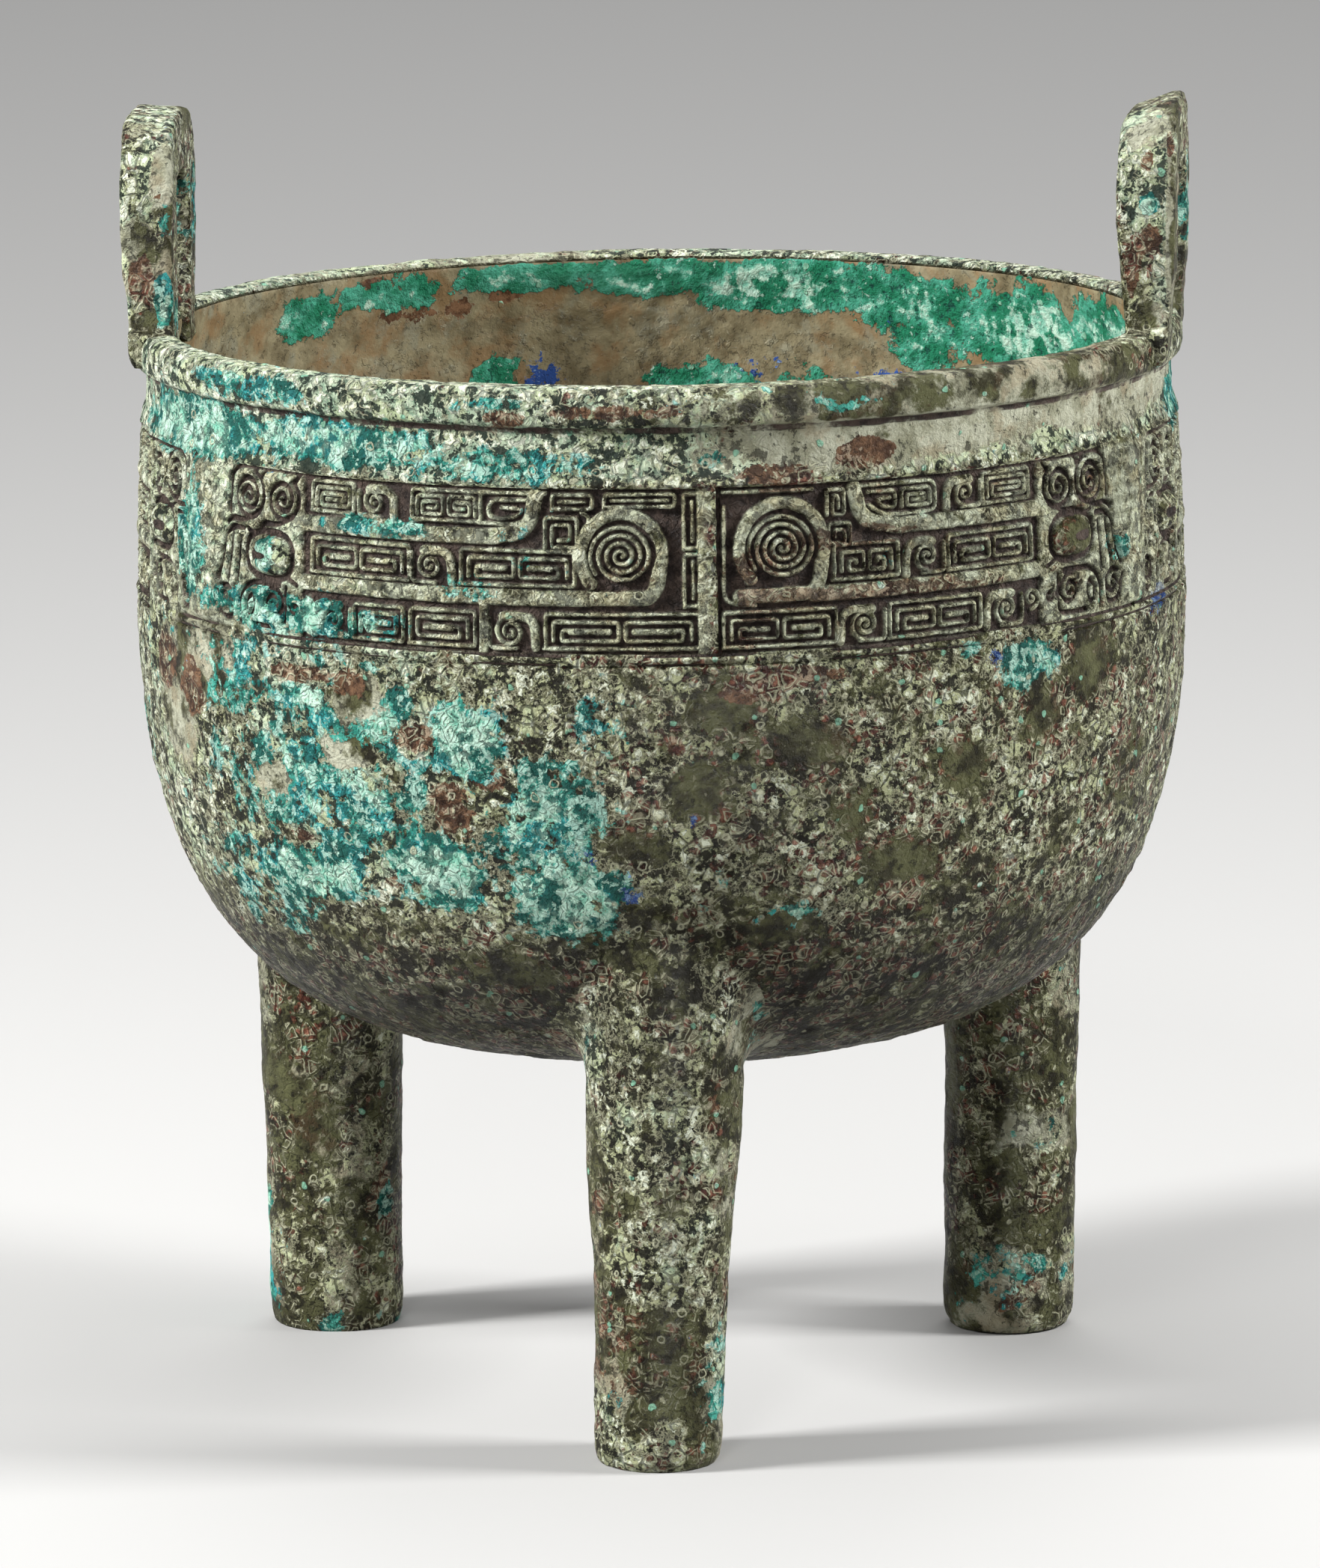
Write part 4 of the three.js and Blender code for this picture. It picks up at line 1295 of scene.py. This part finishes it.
# %% define the column and where it meets the bowl
LEG_SPECS = {
    "front": {"azimuth": -1.4, "foot": 10.9, "knee": 13.2, "shift": 2.8},
    "right": {"azimuth": 118.6, "foot": 11.7, "knee": 12.0, "shift": 1.4},
    "left": {"azimuth": -121.4, "foot": 11.7, "knee": 12.8, "shift": 0.1},
}
LEG_TOP_Z = 94.0
FILLET = 7.0
LEG_HEIGHTS = [-2, 0, 0.9, 2.6, 6, 14, 34, 56, 64, 80]
LEG_SHARES = [0, 0, 0, 0, 0, 0, 0.35, 0.95, 1.0, 1.05]
LEG_TRIMS = [-1.5, -1.1, -0.5, -0.1, 0.05, 0, 0, 0, 0.1, 0.3]


def leg_radius(z, spec):
    """Radius of the bare column at a height."""
    grow = np.interp(z, LEG_HEIGHTS, LEG_SHARES)
    return spec["foot"] + (spec["knee"] - spec["foot"]) * grow + np.interp(z, LEG_HEIGHTS, LEG_TRIMS)


def leg_centre(z, spec):
    """The column's axis at a height, leaning to its right on its way up."""
    angle = math.radians(spec["azimuth"])
    x = LEG_CIRCLE_X + LEG_CIRCLE * math.sin(angle) + spec["shift"] * np.clip(z / LEG_TOP_Z, 0, 1)
    return x, -LEG_CIRCLE * math.cos(angle) + 0 * x


def meeting(spec, turn, out=0.0, below=0.0):
    """The point in a direction that stands out from the column and lies below the bowl's
    surface, both square to them. Its height and the column's centre settle in a few passes.
    The last value is the cosine of the angle between the column and the bowl there."""
    z = np.full(np.broadcast(turn, out).shape, 72.0)
    for _ in range(8):
        x0, y0 = leg_centre(z, spec)
        reach = leg_radius(np.minimum(z, 80), spec) + out
        x, y = x0 + reach * np.cos(turn), y0 + reach * np.sin(turn)
        radius = np.hypot(x, y)
        slope = underside_z(radius + 0.5) - underside_z(radius - 0.5)
        z = underside_z(radius) - below * np.sqrt(1 + slope ** 2)
    along = slope * (x * np.cos(turn) + y * np.sin(turn)) / radius
    return np.stack([x, y, z], axis=-1), along / np.sqrt(1 + along ** 2)


# %% define the leg's surface
def leg_loops(spec, columns, rows):
    """The loops of a leg from the foot up, and for each the share of roughness it takes: all on
    the shaft, less and less along the hollow curve, none on the cap inside the wall."""
    turn = np.linspace(0, 2 * np.pi, columns, endpoint=False)[None, :]
    share = np.linspace(1, 0, rows // 3)[:, None]
    reach = FILLET * (1 - meeting(spec, turn)[1])
    out = np.concatenate([reach * (1 - share) ** 2, reach * [[1.04], [1.06]]])
    sunk = 0 * turn - [[SKIN + 0.5], [SKIN + 1.2]]
    below = np.concatenate([reach * share ** 2 - SKIN * (1 - share), sunk])
    fillet = meeting(spec, turn, out, below)[0]
    climb = np.linspace(0, 1, rows)[:-1, None]
    z = -0.5 + (fillet[0, :, 2][None, :] + 0.5) * climb
    x0, y0 = leg_centre(z, spec)
    radius = leg_radius(z, spec)
    shaft = np.stack([x0 + radius * np.cos(turn), y0 + radius * np.sin(turn), z], axis=-1)

    rim = fillet[-1]
    middle = rim.mean(axis=0)
    caps = []
    for keep in (1.0, 0.72, 0.4, 0.1):
        flat = middle[:2] + (rim[:, :2] - middle[:2]) * keep
        lift = underside_z(np.minimum(np.hypot(flat[:, 0], flat[:, 1]), 87)) + 1.4
        caps.append(np.concatenate([flat, lift[:, None]], axis=1))
    fade = [np.ones(len(shaft)), np.linspace(1, 0.15, len(fillet)), np.zeros(len(caps))]
    return np.concatenate([shaft, fillet, np.array(caps)]), np.concatenate(fade)


def leg_paint(name, loops):
    """The painted values of a leg. The left one has the most malachite, low down, and the
    front one the least smooth skin."""
    z = loops[..., 2]
    broad = fractal(loops, 12, 3, seed=57)
    low_green = smoothstep(40, 12, z) * (1.0 if name == "left" else 0.35)
    bare = smoothstep(0.5, 0.62, fractal(loops, 18, 2, seed=59))
    return {
        "green": np.clip((broad - 0.42) * 2.2 * (0.45 + low_green), 0, 1),
        "smooth": bare * 0.5 + (0.0 if name == "front" else 0.3),
        "pale": np.clip(0.44 + (broad - 0.5) * 0.9, 0, 1),
        "rust": smoothstep(0.5, 0.75, fractal(loops, 9, 2, seed=58)) * 0.6,
        "blue": np.zeros(z.shape),
        # painted shade under the bowl: the leg darkens on its way up towards it
        "dark": smoothstep(50, 76, z) * 0.6 + 0.1,
    }


# %% build the legs
LEG_COLUMNS, LEG_ROWS = 104, 100


def build_leg(name, spec):
    """A leg, each point moved away from the column's axis by lumps, which are lower at the
    foot, and by a finer unevenness."""
    loops, fade = leg_loops(spec, LEG_COLUMNS, LEG_ROWS)
    centre = np.stack([*leg_centre(loops[..., 2], spec), loops[..., 2]], axis=-1)
    away = loops - centre
    away /= np.maximum(np.linalg.norm(away, axis=-1, keepdims=True), 1e-6)
    lump = (fractal(loops, 14, 3, seed=51) - 0.5) * 1.1
    knobbly = (fractal(loops, 2.6, 3, seed=53) - 0.5) * 0.5
    foot = smoothstep(0.2, 4, loops[..., 2])
    move = (lump * (0.4 + 0.6 * foot) + knobbly) * fade[:, None] - 0.1
    points = loops + away * move[..., None] * (fade[:, None, None] > 0)
    return loft(f"leg_{name}", points, {**leg_paint(name, loops), **plain(loops)}, bronze)


for leg_name, leg_spec in LEG_SPECS.items():
    build_leg(leg_name, leg_spec)

# %% [markdown]
# ## Handles
#
# Each handle is an upright loop with flat faces and softened edges. It is a loft of rounded
# squares along the loop, each spanning from the loop's inner edge to its outer one. Its feet
# flare a little and run down into the lip. Its patches are small solid blotches, each placed
# by how far along the rim, how far out and how high it lies.

# %% set the handles' sizes and patches
HANDLES = {
    "right": {"azimuth": 84.0, "top": 222.0, "slope": 0.3, "bow": 1.3, "square": 0.3},
    "left": {"azimuth": -93.0, "top": 220.0, "slope": 0.04, "bow": 0.3, "square": 0.24},
}
HANDLE_PATCHES = {
    "left": {
        "green": [(21, -2.5, 204, 6, 2, 3, 0.5), (21, -2.6, 190, 6, 1.6, 5, 0.9),
                  (-17, 0, 201, 9, 6, 13, 0.95), (14, -4.5, 187, 5, 2, 3, 0.9),
                  (21, 0, 218, 5, 3, 1.5, 0.4)],
        "smooth": [(21, -2.8, 211, 5, 1.7, 5, 1.2), (21, -3.6, 199, 5, 0.8, 9, 0.9),
                   (21, 0, 186, 6, 4, 2, 0.7)],
        "rust": [(21, -1.4, 207.6, 4, 0.8, 0.9, 1.6), (21, 1.6, 195, 5, 2.4, 6, 1.0),
                 (21, 2, 213, 5, 1.2, 3, 0.8), (-14, -4.5, 200, 4, 2, 2, 0.7)],
        "pale": [(21, -2, 213, 8, 4, 8, 0.9), (21, 4.5, 198, 8, 1.2, 14, 0.8),
                 (0, 0, 220, 20, 6, 3, 0.7)],
    },
    "right": {
        "green": [(21, 0.4, 205.5, 5, 1.9, 1.8, 1.2), (21, 1, 199, 5, 1.5, 1.5, 0.6),
                  (21, -2.4, 189, 5, 1, 1.5, 0.7), (-14, 2, 203, 8, 6, 12, 0.6)],
        "smooth": [(21, -1, 217, 6, 4, 3, 0.8), (21, 0.6, 187, 5, 2.4, 2, 1.1),
                   (21, 4.4, 200, 9, 1, 12, 0.7)],
        "rust": [(21, 0.2, 213, 5, 1.6, 1.8, 1.0), (21, 1.2, 200, 5, 2.6, 3, 0.9),
                 (21, -2.8, 194, 5, 1.2, 6, 1.0), (21, 4, 216, 4, 0.8, 3, 0.9)],
        "pale": [(21, -1, 217, 12, 5, 6, 1.3), (21, 0, 206, 8, 4, 8, 0.9),
                 (21, 2.6, 192, 8, 2, 8, 0.8)],
    },
}
HANDLE_HALF = 21.5
HANDLE_LIMB = 10.5
HANDLE_CROWN = 11.0
SHOULDER, HOLE_SHOULDER = 15.0, 8.0
HANDLE_FOOT_Z = 178.6
HANDLE_CIRCLE = 84.9
HANDLE_HALF_DEPTH = 3.95
LOOP_STEPS = {"limb": 34, "turn": 26, "crown": 8}
LOOP_COLUMNS = 76
print(len(HANDLES), "handles,", 2 * HANDLE_HALF, "mm wide")


# %% define the loop and its blotches
def arch(half, top, shoulder):
    """One edge of the loop from its right foot over the top to its left, as (along, z). Its
    shoulders are superellipses: a corner plus the shoulder times cos^0.8 and sin^0.8."""
    limb = np.linspace(HANDLE_FOOT_Z, top - shoulder, LOOP_STEPS["limb"], endpoint=False)
    up = [(half, z) for z in limb]
    angles = np.linspace(0, np.pi / 2, LOOP_STEPS["turn"], endpoint=False)
    corner_u, corner_z = half - shoulder, top - shoulder
    over = [(corner_u + shoulder * math.cos(a) ** 0.8, corner_z + shoulder * math.sin(a) ** 0.8)
            for a in angles]
    across = [(x, top) for x in np.linspace(corner_u, 0, LOOP_STEPS["crown"])]
    right = np.array(up + over + across)
    return np.concatenate([right, (right * [-1, 1])[::-1][1:]])


def blotches(points, places):
    """Patches given as a middle, three half sizes and a strength, which fade as those on the
    wall do."""
    most = np.zeros(points.shape[:-1])
    for *numbers, strength in places:
        middle, half = np.array(numbers[:3]), np.array(numbers[3:])
        reach = np.linalg.norm((points - middle) / half, axis=-1)
        most = np.maximum(most, strength * fading(reach))
    return most


def flared_edges(spec):
    """The loop's outer and inner edges, spread at the feet: by 2.4 mm inside the lip, and from
    there up by 0.8 (3 + g - 2 sqrt(3 g)), where g is the height over the lip in millimetres."""
    outer = arch(HANDLE_HALF, spec["top"], SHOULDER)
    inner = arch(HANDLE_HALF - HANDLE_LIMB, spec["top"] - HANDLE_CROWN, HOLE_SHOULDER)
    gap = np.clip(outer[:, 1] - LIP_TOP_Z, 0, None)
    flare = np.where(gap < 3, (3 + gap) - 2 * np.sqrt(3 * gap), 0) * 0.8
    flare = np.where(outer[:, 1] < LIP_TOP_Z, 2.4, flare)
    spread = np.stack([np.sign(outer[:, 0]) * flare, 0 * flare], axis=-1)
    return outer + spread, inner - spread


# %% define the handle's surface
def squared(wave, power):
    """A sine or cosine pushed towards 1 and -1: its sign times its size to a small power."""
    return np.sign(wave) * np.abs(wave) ** power


def handle_section(spec):
    """The handle's points as distances along the rim, outwards and up, and the middle of each
    loop. At a height the inner face bows towards the vessel's middle, the outer one draws in
    at the foot, and over the hole the top slopes down inwards."""
    outer, inner = flared_edges(spec)
    turn = np.linspace(0, 2 * np.pi, LOOP_COLUMNS, endpoint=False)[None, :]
    wide_share = squared(np.cos(turn), spec["square"])
    deep_share = squared(np.sin(turn), spec["square"])
    middle = ((outer + inner) / 2)[:, None, :]
    flat = middle + ((outer - inner) / 2)[:, None, :] * wide_share[..., None]
    along, z = flat[..., 0], flat[..., 1]
    rise = smoothstep(LIP_TOP_Z - 2, LIP_TOP_Z + 14, z)
    bow = spec["bow"] * np.sin(np.clip((z - LIP_TOP_Z) / 40, 0, 1) * np.pi * 0.8)
    deep = (HANDLE_HALF_DEPTH + 0.6 * rise) * deep_share
    deep = deep - bow * (deep_share < 0) * np.abs(deep_share) + 0.5 * rise
    foot = np.clip((LIP_FOOT_Z + 4.2 - z) / 4.2, 0, 1)
    deep = np.where(deep > 0, deep * (1 - 0.6 * foot ** 2), deep)
    top = smoothstep(spec["top"] - 14, spec["top"] - 1, z)
    return along, deep, z - top * spec["slope"] * np.clip(4.6 - deep, 0, None), middle


def handle_paint(name, loops, local):
    """The painted values of a handle: its own blotches, broken up by noise."""
    own = {key: blotches(local, places) for key, places in HANDLE_PATCHES[name].items()}
    broad = fractal(loops, 10, 3, seed=67)
    bare = smoothstep(0.54, 0.64, fractal(loops, 11, 2, seed=69))
    return {
        "green": own["green"] + (broad - 0.5) * 0.5 - own["rust"] * 0.4,
        "smooth": own["smooth"] + bare * 0.5,
        "pale": np.clip(0.34 + own["pale"] * 0.5 + (broad - 0.5) * 0.8, 0, 1),
        "rust": own["rust"],
        "blue": np.zeros(broad.shape),
        # painted shade that deepens towards the feet
        "dark": smoothstep(205, 186, loops[..., 2]) * 0.3,
    }


# %% build the handles
def build_handle(name, spec):
    """The loop at one side: its section turned to its azimuth, and each point moved away from
    the middle of its loop by lumps."""
    along, deep, z, middle = handle_section(spec)
    angle = math.radians(spec["azimuth"])
    forward = np.array([math.sin(angle), -math.cos(angle), 0])
    sideways = np.array([math.cos(angle), math.sin(angle), 0])
    loops = (HANDLE_CIRCLE + deep)[..., None] * forward + along[..., None] * sideways
    loops[..., 2] = z
    spine = middle[..., 0:1] * sideways + (HANDLE_CIRCLE + 0.3) * forward
    spine[..., 2] = middle[..., 1]
    away = loops - spine
    away /= np.linalg.norm(away, axis=-1, keepdims=True)
    lump = (fractal(loops, 9, 3, seed=61) - 0.5) * 0.9
    knobbly = (fractal(loops, 2.2, 3, seed=63) - 0.5) * 0.6
    points = loops + away * (lump + knobbly - 0.3)[..., None]
    local = np.stack(np.broadcast_arrays(-along * math.sin(angle), deep, z), axis=-1)
    values = {**handle_paint(name, loops, local), **plain(loops)}
    values = {key: value[::-1] for key, value in values.items()}
    return loft(f"handle_{name}", points[::-1], values, bronze)


for handle_name, handle_spec in HANDLES.items():
    build_handle(handle_name, handle_spec)
